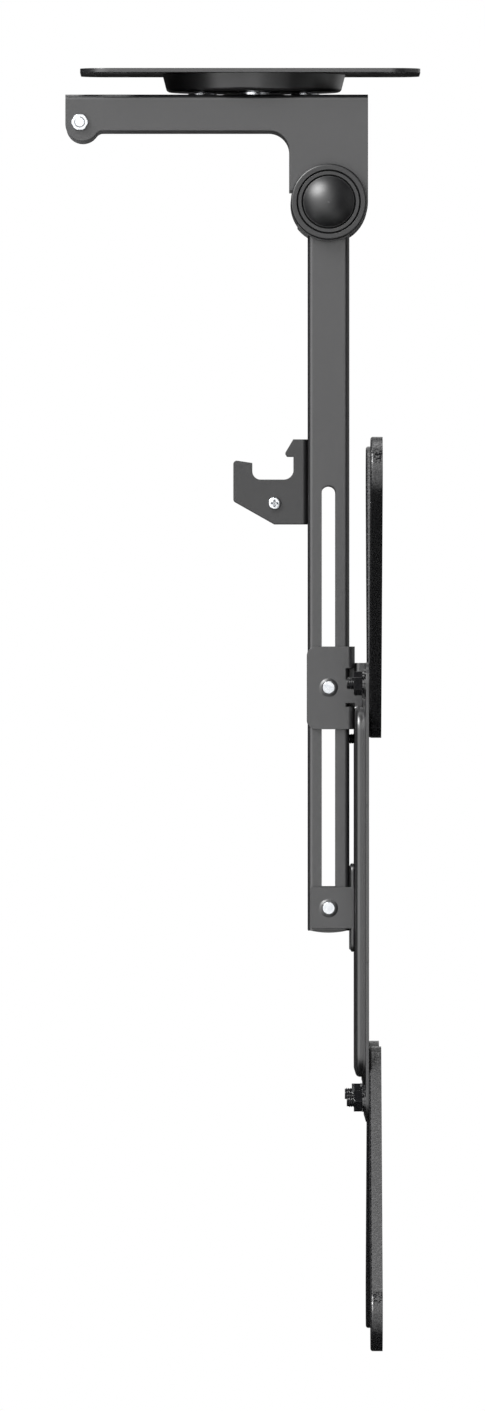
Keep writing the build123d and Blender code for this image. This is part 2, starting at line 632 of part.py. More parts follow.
def make_hook_spacer():
    """Threaded spacer that ties the hook's two cheeks together."""
    half = HOOK_HALF_WIDTH - HOOK_SHEET
    shape = ring(HOOK_SPACER_RADIUS, HOOK_SCREW_RADIUS, 2 * half)
    return across(tube_back - HOOK_SCREW_REACH, -HOOK_TOP - HOOK_SCREW_DROP, -half) * shape


def make_hook_screws():
    """One pan-head screw in each cheek of the hook."""
    screw = pan_screw(HOOK_SCREW_HEAD_RADIUS, HOOK_SCREW_HEAD_HEIGHT, HOOK_SCREW_RADIUS, HOOK_SCREW_LENGTH)
    x = tube_back - HOOK_SCREW_REACH
    z = -HOOK_TOP - HOOK_SCREW_DROP
    return [across(x, z, -side * HOOK_HALF_WIDTH, side) * screw for side in (-1, 1)]


def make_hook_rivets():
    """Two rivets through the hook's web and the arm's wall."""
    length = HOOK_SHEET + TUBE_WALL
    head = rod(HOOK_RIVET_HEAD_RADIUS, HOOK_RIVET_HEAD_HEIGHT)
    head = fillet(head.edges().group_by(Axis.Z)[-1], HOOK_RIVET_HEAD_EDGE)
    tail = rod(HOOK_RIVET_TAIL_RADIUS, HOOK_RIVET_HEAD_HEIGHT)
    shape = Rot(180, 0, 0) * head + rod(HOOK_RIVET_RADIUS, length) + Pos(0, 0, length) * tail
    return [place * shape for place in hook_rivet_places(tube_back - HOOK_SHEET)]


def pin_collars(z):
    """The low rims that the punched holes of a guide pin have on the outside of both cheeks."""
    collar = Cone(PIN_COLLAR_RADIUS, PIN_COLLAR_TOP_RADIUS, PIN_COLLAR_HEIGHT,
                  align=(Align.CENTER, Align.CENTER, Align.MIN))
    near, far = [across(HINGE_X, z, side * rail_side, side) * collar for side in (-1, 1)]
    return near + far


def pin_bore(z):
    """The hole of a guide pin through both cheeks and their rims."""
    half = rail_side + PIN_COLLAR_HEIGHT
    return across(HINGE_X, z, -half) * rod(GUIDE_PIN_RADIUS, 2 * half)


def make_carriage():
    """Upper carriage: it slides on the arm, and a flat ear of each cheek runs on beside the top bracket."""
    back = tube_back - CARRIAGE_BACK_OVERHANG
    bottom = -CARRIAGE_TOP - CARRIAGE_HEIGHT
    place = Plane(origin=(rail_front, 0, bottom), x_dir=(0, 1, 0), z_dir=(0, 0, 1))
    body = place * channel(2 * rail_side, rail_front - back, RAIL_SHEET, RAIL_BEND, CARRIAGE_HEIGHT)
    outline = span(back, rail_front, bottom, -CARRIAGE_TOP)
    outline = fillet(outline.vertices().group_by(Axis.X)[0], CARRIAGE_CORNER)
    body = body & side_prism(outline, rail_side)
    relief_back = rail_front - EAR_ROOT
    relief_top = -EAR_TOP + EAR_RELIEF_ABOVE
    ear_bottom = -EAR_TOP - EAR_HEIGHT
    relief = span(relief_back, rail_front, ear_bottom, relief_top)
    body -= side_prism(relief, rail_side) - side_prism(relief, rail_side - RELIEF_REACH)
    ear = span(relief_back, ear_front, ear_bottom + EAR_RELIEF_BELOW, -EAR_TOP)
    ear += span(rail_front, ear_front, ear_bottom, -EAR_TOP)
    ear = fillet(ear.vertices().group_by(Axis.X)[-1], EAR_CORNER)
    body += side_prism(ear, rail_side) - side_prism(ear, rail_side - RAIL_SHEET)
    return body + pin_collars(-UPPER_PIN_DROP) - pin_bore(-UPPER_PIN_DROP)


def make_liner(top, height):
    """Thin plastic strip on the inside of a web, which slides on the arm and takes up the play."""
    sheet = RAIL_FACE_GAP - FACE_GAP
    strip = Box(sheet, LINER_WIDTH, height - 2 * LINER_INSET)
    return Pos(rail_web - sheet / 2, 0, -top - height / 2) * strip


def make_guide_pin(z):
    """Pin across the arm, held in both cheeks and running in the long slots."""
    half = rail_side + GUIDE_PIN_PROUD
    pin = rod(GUIDE_PIN_RADIUS, 2 * half)
    pin = chamfer(pin.edges().filter_by(GeomType.CIRCLE), GUIDE_PIN_EDGE)
    return across(HINGE_X, z, -half) * pin


def make_lower_bracket():
    """Lower bracket: a tall web with soft edges on the pan and two short cheeks that hold the lower pin."""
    web = Box(RAIL_SHEET, 2 * rail_side, LOWER_WEB_HEIGHT)
    web = fillet(web.edges().filter_by(Axis.X), LOWER_WEB_CORNER)
    outline = [edge for face in web.faces().filter_by(Axis.X) for edge in face.edges()]
    web = fillet(outline, LOWER_WEB_EDGE)
    web = Pos((rail_web + rail_front) / 2, 0, -LOWER_WEB_TOP - LOWER_WEB_HEIGHT / 2) * web
    back = tube_back + LOWER_CHEEK_BACK
    cheek = span(back, rail_front, -LOWER_CHEEK_TOP - LOWER_CHEEK_HEIGHT, -LOWER_CHEEK_TOP)
    cheek = fillet(cheek.vertices().group_by(Axis.X)[0], LOWER_CHEEK_CORNER)
    cheeks = side_prism(cheek, rail_side) - side_prism(cheek, rail_side - RAIL_SHEET)
    outer_edges = cheeks.edges().filter_by(Axis.Z).group_by(Axis.X)[-1].filter_by(
        lambda e: abs(abs(e.center().Y) - rail_side) < FACE_GAP)
    cheeks = fillet(outer_edges, LOWER_CHEEK_BEND)
    return web + cheeks + pin_collars(lower_pin_z) - pin_bore(lower_pin_z)


def make_back_pan():
    """Stamped pan: its flat bottom faces the arm, and its narrow lip lies on the screen plate."""
    place = facing_screen(pan_back, 0, screen_z)
    outer = extrude(RectangleRounded(pan_side, pan_side, PAN_CORNER), PAN_DEPTH)
    outer = fillet(outer.edges().group_by(Axis.Z)[0], PAN_BEND)
    inner_size = (pan_side - 2 * PAN_SHEET, pan_side - 2 * PAN_SHEET)
    inner = Pos(0, 0, PAN_SHEET) * extrude(
        RectangleRounded(*inner_size, PAN_CORNER - PAN_SHEET), PAN_DEPTH - PAN_SHEET)
    inner = fillet(inner.edges().group_by(Axis.Z)[0], PAN_BEND - PAN_SHEET)
    lip_shape = RectangleRounded(pan_side + 2 * PAN_LIP, pan_side + 2 * PAN_LIP, PAN_CORNER + PAN_LIP)
    lip = Pos(0, 0, PAN_DEPTH - PAN_SHEET) * extrude(lip_shape, PAN_SHEET)
    body = place * (outer + lip - inner)
    body -= facing_screen(pan_back, 0, -LOCK_SCREW_DROP) * rod(LOCK_SCREW_RADIUS, PAN_SHEET)
    return body


def make_lock_screw():
    """Set screw through the pan, whose end presses on the arm."""
    start = tube_front + FACE_GAP
    end = pan_back + PAN_SHEET + LOCK_NUT_HEIGHT
    return facing_screen(start, 0, -LOCK_SCREW_DROP) * rod(LOCK_SCREW_RADIUS, end - start)


def make_lock_nut():
    """Nut of the set screw, fixed inside the pan."""
    nut = hex_nut(LOCK_NUT_FLATS, LOCK_NUT_HEIGHT, LOCK_SCREW_RADIUS)
    return facing_screen(pan_back + PAN_SHEET, 0, -LOCK_SCREW_DROP) * nut


def make_top_bracket():
    """Small folded bracket on the back of the screen plate, between the carriage's two ears."""
    side = rail_side - RAIL_SHEET
    height = (SCREEN_PLATE_SIDE - pan_side) / 2 - PAN_LIP - FACE_GAP
    top = screen_z + SCREEN_PLATE_SIDE / 2
    place = Plane(origin=(pan_back, 0, top), x_dir=(0, 1, 0), z_dir=(0, 0, -1))
    return place * channel(2 * side, PAN_DEPTH, TOP_BRACKET_SHEET, TOP_BRACKET_BEND, height)


def corner_signs():
    """The four corners of the screen plate, as signs along Y and Z."""
    return [(y, z) for y in (-1, 1) for z in (-1, 1)]


def make_screen_plate():
    """Square plate with holes for small screens and, at its corners, for the arms."""
    plate = RectangleRounded(SCREEN_PLATE_SIDE, SCREEN_PLATE_SIDE, SCREEN_PLATE_CORNER)
    for y, z in corner_signs():
        plate -= Pos(y * ARM_BOLT_SPACING / 2, z * ARM_BOLT_SPACING / 2) * Circle(ARM_BOLT_RADIUS)
        for spacing in SCREEN_HOLE_SPACINGS:
            plate -= Pos(y * spacing / 2, z * spacing / 2) * Circle(SCREEN_HOLE_RADIUS)
        notch = Rectangle(2 * SIDE_NOTCH_DEPTH, SIDE_NOTCH_HEIGHT)
        plate -= Pos(y * SCREEN_PLATE_SIDE / 2, z * SIDE_NOTCH_OFFSET) * notch
    return facing_screen(plate_back, 0, screen_z) * extrude(plate, SCREEN_PLATE_SHEET)


def arm_bolt_places(x):
    """A place on each arm bolt's axis, at the given X."""
    half = ARM_BOLT_SPACING / 2
    return [facing_screen(x, y * half, screen_z + z * half) for y, z in corner_signs()]


def make_arm_bolts():
    """Four bolts, head in the arm and end towards the ceiling arm."""
    nut_end = plate_back - ARM_WASHER_SHEET - SPRING_WASHER_SHEET - ARM_NUT_HEIGHT
    seat = arms_back + ARM_SHEET + FACE_GAP
    bolt = Rot(180, 0, 0) * hex_bolt(ARM_HEAD_FLATS, ARM_HEAD_HEIGHT, ARM_BOLT_RADIUS, seat - nut_end + ARM_BOLT_TIP)
    return [place * bolt for place in arm_bolt_places(seat)]


def make_arm_washers():
    """Flat washers on the back of the screen plate."""
    shape = ring(ARM_WASHER_RADIUS, ARM_BOLT_RADIUS, ARM_WASHER_SHEET)
    return [place * shape for place in arm_bolt_places(plate_back - ARM_WASHER_SHEET)]


def make_arm_spring_washers():
    """Split spring washers between washer and nut."""
    shape = ring(SPRING_WASHER_RADIUS, ARM_BOLT_RADIUS, SPRING_WASHER_SHEET)
    shape -= Pos(SPRING_WASHER_RADIUS, 0, SPRING_WASHER_SHEET / 2) * Box(
        2 * (SPRING_WASHER_RADIUS - ARM_BOLT_RADIUS) + 1, SPRING_WASHER_SPLIT, 2 * SPRING_WASHER_SHEET)
    start = plate_back - ARM_WASHER_SHEET - SPRING_WASHER_SHEET
    return [place * shape for place in arm_bolt_places(start)]


def make_arm_nuts():
    """Hexagon nuts; the two upper ones were tightened to another angle than the lower ones."""
    start = plate_back - ARM_WASHER_SHEET - SPRING_WASHER_SHEET
    nut = Rot(180, 0, 0) * hex_nut(ARM_HEAD_FLATS, ARM_NUT_HEIGHT, ARM_BOLT_RADIUS)
    turns = [UPPER_NUT_TURN if z > 0 else 0 for y, z in corner_signs()]
    return [place * (Rot(0, 0, turn) * nut) for place, turn in zip(arm_bolt_places(start), turns)]


def make_spider_arm(y, z):
    """Tray-shaped arm with a turned-up rim, a pivot hole and a long slot for the screen's screws."""
    length = ARM_REACH + ARM_TAIL
    middle = (ARM_REACH - ARM_TAIL) / 2
    outer = extrude(Pos(middle, 0) * SlotCenterToCenter(length, 2 * ARM_HALF_WIDTH), ARM_DEPTH)
    outer = fillet(outer.edges().group_by(Axis.Z)[0], ARM_BEND)
    inner_half = ARM_HALF_WIDTH - ARM_SHEET
    inner = extrude(Pos(middle, 0) * SlotCenterToCenter(length, 2 * inner_half), ARM_DEPTH - ARM_SHEET)
    tray = outer - Pos(0, 0, ARM_SHEET) * inner
    tray -= rod(ARM_BOLT_RADIUS + RUNNING_GAP, ARM_SHEET)
    slot_length = ARM_REACH - ARM_SLOT_START
    slot = SlotCenterToCenter(slot_length, ARM_SLOT_WIDTH)
    tray -= Pos((ARM_REACH + ARM_SLOT_START) / 2, 0, 0) * extrude(slot, ARM_SHEET)
    half = ARM_BOLT_SPACING / 2
    place = Plane(origin=(arms_back, y * half, screen_z + z * half),
                  x_dir=(0, y * cos(radians(45)), z * sin(radians(45))), z_dir=(1, 0, 0))
    return place * tray


def write(name, shape):
    """Writes one STEP file for one named piece, or for a group of like pieces."""
    solids = shape if isinstance(shape, list) else [shape]
    solids = [one for group in solids for one in group.solids()]
    whole = solids[0] if len(solids) == 1 else Compound(children=solids)
    export_step(whole, f"parts/{name}.step")


os.makedirs("parts", exist_ok=True)
write("ceiling_plate", make_ceiling_plate())
write("pivot_bolt", make_pivot_bolt())
write("pivot_pad", make_pivot_pad())
write("pivot_lower_pad", make_pivot_lower_pad())
write("pivot_washer", make_pivot_washer())
write("pivot_nut", make_pivot_nut())
write("swivel_disc", make_swivel_disc())
write("swivel_cover", make_swivel_cover())
write("swivel_standoffs", make_swivel_standoffs())
write("swivel_screws", make_swivel_screws())
write("hanger_bracket", make_hanger_bracket())
write("catch_bolt", make_catch_bolt())
write("catch_sleeve", make_catch_sleeve())
write("catch_nuts", make_catch_nuts())
write("hinge_bolt", make_hinge_bolt())
write("hinge_nut", make_hinge_nut())
write("hinge_washers", make_hinge_washers())
write("hinge_discs", make_hinge_discs())
write("hinge_cap_near", make_hinge_cap(-1))
write("hinge_cap_far", make_hinge_cap(1))
write("arm_tube", make_arm_tube())
write("hinge_sleeve", make_hinge_sleeve())
write("tube_end_cap", make_tube_end_cap())
write("latch_hook", make_latch_hook())
write("hook_spacer", make_hook_spacer())
write("hook_screws", make_hook_screws())
write("hook_rivets", make_hook_rivets())
write("carriage", make_carriage())
write("carriage_liner", make_liner(CARRIAGE_TOP, CARRIAGE_HEIGHT))
write("upper_guide_pin", make_guide_pin(-UPPER_PIN_DROP))
write("lower_guide_pin", make_guide_pin(lower_pin_z))
write("lower_bracket", make_lower_bracket())
write("lower_liner", make_liner(LOWER_WEB_TOP, LOWER_WEB_HEIGHT))
write("back_pan", make_back_pan())
write("lock_screw", make_lock_screw())
write("lock_nut", make_lock_nut())
write("top_bracket", make_top_bracket())
write("screen_plate", make_screen_plate())
write("arm_bolts", make_arm_bolts())
write("arm_washers", make_arm_washers())
write("arm_spring_washers", make_arm_spring_washers())
write("arm_nuts", make_arm_nuts())
for side_name, y_sign in (("near", -1), ("far", 1)):
    for level_name, z_sign in (("upper", 1), ("lower", -1)):
        write(f"{level_name}_{side_name}_arm", make_spider_arm(y_sign, z_sign))
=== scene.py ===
# %% [markdown]
# # A folding ceiling mount for a flat screen
#
# The real object is a rack of black powder-coated steel sheet that hangs from a ceiling. A moulded cover hides the
# swivel, a folded hanger carries the arm on a hinge bolt, and the arm carries a square plate with four long arms.
#
# The shapes with exact sizes come from a CAD model, which is loaded here as the frame. It could also be modelled
# from nothing in Blender, but then every hole and every joint would have to be measured again. What is added here is
# what the CAD model leaves out: the finish of each part, screw threads, cross recesses, the split of the spring
# washers and the full depth of the grooves in the hinge caps.

# %% Load the frame
import math

import bmesh
import bpy
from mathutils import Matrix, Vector


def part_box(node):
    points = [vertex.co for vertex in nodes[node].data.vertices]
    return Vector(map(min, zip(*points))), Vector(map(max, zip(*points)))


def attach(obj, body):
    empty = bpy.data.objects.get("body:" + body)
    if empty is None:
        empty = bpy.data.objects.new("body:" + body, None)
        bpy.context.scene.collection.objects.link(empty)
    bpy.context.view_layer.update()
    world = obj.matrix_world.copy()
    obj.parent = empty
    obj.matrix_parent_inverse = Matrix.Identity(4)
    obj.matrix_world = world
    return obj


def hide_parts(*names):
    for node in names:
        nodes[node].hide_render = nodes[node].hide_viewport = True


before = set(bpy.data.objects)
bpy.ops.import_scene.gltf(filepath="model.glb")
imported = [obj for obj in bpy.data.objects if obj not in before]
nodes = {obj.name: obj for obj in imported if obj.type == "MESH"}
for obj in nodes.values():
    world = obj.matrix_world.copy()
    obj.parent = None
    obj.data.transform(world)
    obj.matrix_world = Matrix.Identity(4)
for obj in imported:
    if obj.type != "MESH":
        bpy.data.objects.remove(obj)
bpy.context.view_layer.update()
MM = 0.001

# %% [markdown]
# ## Colours and nodes
#
# Colours are written as sRGB hex values, as a colour picker shows them. Blender calculates with linear light, so one
# function turns them. Every node of a material or of a Geometry Nodes tree is made by one small helper. It could be
# done with a helper for each kind of node, but a single one keeps all trees readable in the same way: the kind, then
# its settings, then what goes into its sockets.


# %% Helpers for colours and nodes
def linear(hex_colour):
    """An sRGB hex colour such as #1A1B1C as linear RGBA."""
    parts = [int(hex_colour[i:i + 2], 16) / 255 for i in (1, 3, 5)]
    return tuple([c / 12.92 if c <= 0.04045 else ((c + 0.055) / 1.055) ** 2.4 for c in parts] + [1.0])


def add(tree, kind, settings=None, **sockets):
    """Adds a node. A socket is named, or given as in0, in1 and so on, and takes a value, an output or several."""
    node = tree.nodes.new(kind)
    for name, value in (settings or {}).items():
        setattr(node, name, value)
    for name, value in sockets.items():
        key = int(name[2:]) if name[:2] == "in" and name[2:].isdigit() else name.replace("_", " ")
        socket = node.inputs[key]
        if isinstance(value, bpy.types.NodeSocket):
            tree.links.new(value, socket)
        elif isinstance(value, list):
            for one in value:
                tree.links.new(one, socket)
        else:
            socket.default_value = value
    return node


def new_material(name):
    """An empty material with its node tree."""
    material = bpy.data.materials.new(name)
    material.use_nodes = True
    material.node_tree.nodes.clear()
    return material, material.node_tree


def finish_material(tree, shader):
    """Joins a shader to the material's output."""
    output = add(tree, "ShaderNodeOutputMaterial")
    tree.links.new(shader.outputs[0], output.inputs["Surface"])


print("powder black as linear:", [round(c, 4) for c in linear("#0F0F10")])

# %% [markdown]
# ## Black powder coat on folded steel
#
# Powder is sprayed on the folded sheet and melted in an oven. It runs together to a semi-matt skin with a soft
# orange-peel waviness of about 2 mm, and it rounds every cut edge a little. It could be painted as one dark colour,
# but then the plates would look like paper. Here the eye gets a nearly black base with faint clouds, a wide soft
# reflection, two sizes of bump, and a shader bevel of 0.4 mm that catches light along the edges. The finest grain of
# real powder coat is about 0.1 mm and too fine to show, so it is drawn 0.5 mm coarse. The grain also makes the skin
# a little smoother here and rougher there, because a bump alone fades away at a distance.

# %% Powder-coated steel
CLOUD_MM = 35
PEEL_MM = 2.2
PEEL_HEIGHT_MM = 0.02
FINE_GRAIN_MM = 0.5
SOFT_EDGE_MM = 0.4
BEVEL_SAMPLES = 4
GRAIN_LOW, GRAIN_HIGH = 0.38, 0.62  # nearly all values of a noise texture lie between these
VARNISH_IOR = 1.5


def powder_coat(name, light_colour, dark_colour, roughness, spread, grain_size, grain_height, specular):
    """Semi-matt black powder coat. Sizes are in mm, and the roughness varies by the spread either way."""
    material, tree = new_material(name)
    place = add(tree, "ShaderNodeTexCoord").outputs["Object"]
    cloud = add(tree, "ShaderNodeTexNoise", Vector=place, Scale=1 / (CLOUD_MM * MM), Detail=2.0).outputs["Fac"]
    colour = add(tree, "ShaderNodeMix", {"data_type": "RGBA"}, Factor=cloud, in6=linear(dark_colour),
                 in7=linear(light_colour)).outputs[2]
    peel = add(tree, "ShaderNodeTexNoise", Vector=place, Scale=1 / (PEEL_MM * MM), Detail=1.0).outputs["Fac"]
    grain = add(tree, "ShaderNodeTexNoise", Vector=place, Scale=1 / (grain_size * MM), Detail=2.0).outputs["Fac"]
    shine = add(tree, "ShaderNodeMapRange", Value=grain, From_Min=GRAIN_LOW, From_Max=GRAIN_HIGH,
                To_Min=roughness - spread, To_Max=roughness + spread).outputs["Result"]
    edge = add(tree, "ShaderNodeBevel", {"samples": BEVEL_SAMPLES}, Radius=SOFT_EDGE_MM * MM).outputs["Normal"]
    wave = add(tree, "ShaderNodeBump", Height=peel, Distance=PEEL_HEIGHT_MM * MM, Normal=edge).outputs["Normal"]
    skin = add(tree, "ShaderNodeBump", Height=grain, Distance=grain_height * MM, Normal=wave).outputs["Normal"]
    shader = add(tree, "ShaderNodeBsdfPrincipled", Base_Color=colour, Roughness=shine, IOR=VARNISH_IOR,
                 Specular_IOR_Level=specular, Normal=skin)
    finish_material(tree, shader)
    return material


powder = powder_coat("powder_coated_steel", "#0F0F10", "#0B0B0C", 0.34, 0.03, FINE_GRAIN_MM, 0.012, 0.5)
print("finish made:", powder.name)

# %% [markdown]
# ## Coarser powder coat on the arms and the hook
#
# The screen arms were coated in another batch and have a sandy skin, which sparkles where light grazes it. The latch
# hook is drawn darker than the other sheets. The same maker of finishes serves both: the arms get a deeper grain that
# changes the roughness much more, and the hook gets a darker base, a lower specular level and a rougher skin. A noise
# texture for colour would also give grain, but it would not follow the light. The real sandy grain is about 0.3 mm, so
# it is drawn 0.9 mm coarse to show.

# %% Powder coat of the arms and of the hook
SANDY_GRAIN_MM = 0.9
sandy_powder = powder_coat("sandy_powder_coat", "#09090A", "#060607", 0.34, 0.24, SANDY_GRAIN_MM, 0.12, 0.37)
dull_powder = powder_coat("dull_powder_coat", "#0A0A0B", "#070708", 0.38, 0.03, FINE_GRAIN_MM, 0.012, 0.36)
print("finishes made:", sandy_powder.name, dull_powder.name)

# %% [markdown]
# ## Moulded black plastic
#
# The swivel cover, the hinge caps and the plug at the tube's end are injection moulded. The cover comes from a
# polished mould, so it shows clear bands of light. The caps come from a mould that was eroded by sparks, so they show
# one soft highlight that fades evenly. A plain glossy black would do from afar. A very shallow sink of the wall, some
# 8 mm wide, makes the highlight waver as it does on real mouldings. The pits that a mould leaves are about 0.05 mm
# wide and too fine to show, so they are drawn 0.5 mm coarse and very shallow.

# %% Moulded plastic
SINK_MM = 8
SINK_DEPTH_MM = 0.03
PIT_MM = 0.5
PIT_DEPTH_MM = 0.003
MOULDED_EDGE_MM = 0.2
SINK_SPREAD = 0.02


def moulded_plastic(name, roughness, specular):
    """Injection-moulded black plastic."""
    material, tree = new_material(name)
    place = add(tree, "ShaderNodeTexCoord").outputs["Object"]
    sink = add(tree, "ShaderNodeTexNoise", Vector=place, Scale=1 / (SINK_MM * MM), Detail=1.0).outputs["Fac"]
    pits = add(tree, "ShaderNodeTexNoise", Vector=place, Scale=1 / (PIT_MM * MM), Detail=1.0).outputs["Fac"]
    edge = add(tree, "ShaderNodeBevel", {"samples": BEVEL_SAMPLES}, Radius=MOULDED_EDGE_MM * MM).outputs["Normal"]
    wave = add(tree, "ShaderNodeBump", Height=sink, Distance=SINK_DEPTH_MM * MM, Normal=edge).outputs["Normal"]
    skin = add(tree, "ShaderNodeBump", Height=pits, Distance=PIT_DEPTH_MM * MM, Normal=wave).outputs["Normal"]
    shine = add(tree, "ShaderNodeMapRange", Value=sink, To_Min=roughness - SINK_SPREAD,
                To_Max=roughness + SINK_SPREAD).outputs["Result"]
    shader = add(tree, "ShaderNodeBsdfPrincipled", Base_Color=linear("#070708"), IOR=1.5, Roughness=shine,
                 Specular_IOR_Level=specular, Normal=skin)
    finish_material(tree, shader)
    return material


moulded = moulded_plastic("polished_moulded_plastic", 0.34, 0.47)
satin_moulded = moulded_plastic("satin_moulded_plastic", 0.43, 0.35)
print("finishes made:", moulded.name, satin_moulded.name)

# %% [markdown]
# ## Bright zinc plate
#
# Pins, screws and nuts are steel with a thin bright layer of zinc. The eye sees a mirror that is slightly blurred
# and a little cold. A chrome-like mirror would be too clean, so a noise of 3 mm varies the blur, as the bath leaves
# it. The marks of the tools below the zinc are about 0.1 mm apart and too fine to show, so they are drawn as a noise
# of 0.6 mm. A metal keeps the shader's own IOR, because its colour already says how it reflects.

# %% Zinc-plated steel
BLOOM_MM = 3
TOOL_MARK_MM = 0.6
TOOL_MARK_DEPTH_MM = 0.004
ZINC_EDGE_MM = 0.25

zinc, tree = new_material("bright_zinc_plate")
place = add(tree, "ShaderNodeTexCoord").outputs["Object"]
bloom = add(tree, "ShaderNodeTexNoise", Vector=place, Scale=1 / (BLOOM_MM * MM), Detail=3.0).outputs["Fac"]
marks = add(tree, "ShaderNodeTexNoise", Vector=place, Scale=1 / (TOOL_MARK_MM * MM), Detail=1.0).outputs["Fac"]
colour = add(tree, "ShaderNodeMix", {"data_type": "RGBA"}, Factor=bloom, in6=linear("#9A9DA1"),
             in7=linear("#A8A9AA")).outputs[2]
shine = add(tree, "ShaderNodeMapRange", Value=bloom, To_Min=0.2, To_Max=0.32).outputs["Result"]
edge = add(tree, "ShaderNodeBevel", {"samples": BEVEL_SAMPLES}, Radius=ZINC_EDGE_MM * MM).outputs["Normal"]
skin = add(tree, "ShaderNodeBump", Height=marks, Distance=TOOL_MARK_DEPTH_MM * MM, Normal=edge).outputs["Normal"]
shader = add(tree, "ShaderNodeBsdfPrincipled", Base_Color=colour, Metallic=1.0, Roughness=shine, Normal=skin)
finish_material(tree, shader)
print("finish made:", zinc.name)

# %% [markdown]
# ## Oiled black oxide
#
# The bolts and nuts of the arms and the lock screw are blackened in a hot salt bath and then oiled. The oxide is
# black to its depth, and the oil fills it to a thin clear shine. It could be a dark metal, but a smooth black with
# an oil's IOR of 1.45 is nearer to it. Cold-pressed flats are smooth, so they mirror the lamps clearly, and the film
# of oil varies that over some 2 mm.

# %% Black oxide
FILM_MM = 2
OXIDE_EDGE_MM = 0.2

oxide, tree = new_material("oiled_black_oxide")
place = add(tree, "ShaderNodeTexCoord").outputs["Object"]
film = add(tree, "ShaderNodeTexNoise", Vector=place, Scale=1 / (FILM_MM * MM), Detail=3.0).outputs["Fac"]
colour = add(tree, "ShaderNodeMix", {"data_type": "RGBA"}, Factor=film, in6=linear("#060607"),
             in7=linear("#0C0C0D")).outputs[2]
shine = add(tree, "ShaderNodeMapRange", Value=film, To_Min=0.05, To_Max=0.09).outputs["Result"]
edge = add(tree, "ShaderNodeBevel", {"samples": BEVEL_SAMPLES}, Radius=OXIDE_EDGE_MM * MM).outputs["Normal"]
shader = add(tree, "ShaderNodeBsdfPrincipled", Base_Color=colour, Roughness=shine, IOR=1.45, Normal=edge)
finish_material(tree, shader)
print("finish made:", oxide.name)

# %% [markdown]
# ## Natural nylon
#
# The thin washers between moving parts are uncoloured nylon, which looks like milky wax. It could let light through
# it, but pieces this thin and this hidden look the same with a pale colour that is clouded over some 6 mm.

# %% Nylon
MILK_MM = 6
MILK_HEIGHT_MM = 0.02

nylon, tree = new_material("natural_nylon")
place = add(tree, "ShaderNodeTexCoord").outputs["Object"]
milk = add(tree, "ShaderNodeTexNoise", Vector=place, Scale=1 / (MILK_MM * MM), Detail=2.0).outputs["Fac"]
colour = add(tree, "ShaderNodeMix", {"data_type": "RGBA"}, Factor=milk, in6=linear("#D6D2C6"),
             in7=linear("#E4E1D8")).outputs[2]
skin = add(tree, "ShaderNodeBump", Height=milk, Distance=MILK_HEIGHT_MM * MM).outputs["Normal"]
shader = add(tree, "ShaderNodeBsdfPrincipled", Base_Color=colour, Roughness=0.5, IOR=1.53, Normal=skin)
finish_material(tree, shader)
print("finish made:", nylon.name)

# %% [markdown]
# ## Which part has which finish
#
# Every part of the frame gets one of the finishes above, and what is named nowhere is powder-coated steel. Each part
# could be dressed by hand, but a list for each finish shows at a glance what is made of what.

# %% Finish of each part
finish_of = {
    moulded: ["swivel_cover", "tube_end_cap", "carriage_liner", "lower_liner"],
    satin_moulded: ["hinge_cap_near", "hinge_cap_far"],
    zinc: ["catch_bolt", "catch_sleeve", "catch_nuts", "upper_guide_pin", "lower_guide_pin",
           "pivot_bolt", "pivot_washer", "pivot_nut", "hinge_bolt", "hinge_nut", "hinge_washers", "hinge_sleeve",
           "hook_spacer", "hook_screws", "swivel_screws", "swivel_standoffs"],
    oxide: ["arm_bolts", "arm_washers", "arm_spring_washers", "arm_nuts", "lock_screw", "lock_nut"],
    nylon: ["pivot_pad", "pivot_lower_pad", "hinge_discs"],
    sandy_powder: ["upper_near_arm", "upper_far_arm", "lower_near_arm", "lower_far_arm"],
    dull_powder: ["latch_hook"],
}
for node in nodes.values():
    node.data.materials.clear()
    node.data.materials.append(powder)
for material, names in finish_of.items():
    for name in names:
        nodes[name].data.materials[0] = material
print("dressed:", len(nodes))

# %% [markdown]
# ## How the repeated pieces are made
#
# Bolts, screws and washers repeat, and each follows a rule: a thread is a helix, a nut is a hexagon with its corners
# turned off. They could be modelled by hand and copied, but with Geometry Nodes a size can be changed later in one
# place. Each tree below takes places as loose points with a turn, and sizes as named inputs. It sets its shape on
# every place, makes the copies real, shades flat faces flat and round ones smooth, and gives the material.

# %% Helpers for Geometry Nodes
SHARP_ABOVE_DEGREES = 35
MATH = "ShaderNodeMath"
PLUS, MINUS, TIMES, OVER, LARGER, POWER = [
    {"operation": name} for name in ("ADD", "SUBTRACT", "MULTIPLY", "DIVIDE", "MAXIMUM", "POWER")]


def new_tree(name, inputs):
    """An empty Geometry Nodes tree with one geometry output. Each input is a name with the kind of its socket."""
    tree = bpy.data.node_groups.new(name, "GeometryNodeTree")
    for title, kind in inputs.items():
        tree.interface.new_socket(title, in_out="INPUT", socket_type="NodeSocket" + kind)
    tree.interface.new_socket("Geometry", in_out="OUTPUT", socket_type="NodeSocketGeometry")
    return tree, add(tree, "NodeGroupInput").outputs


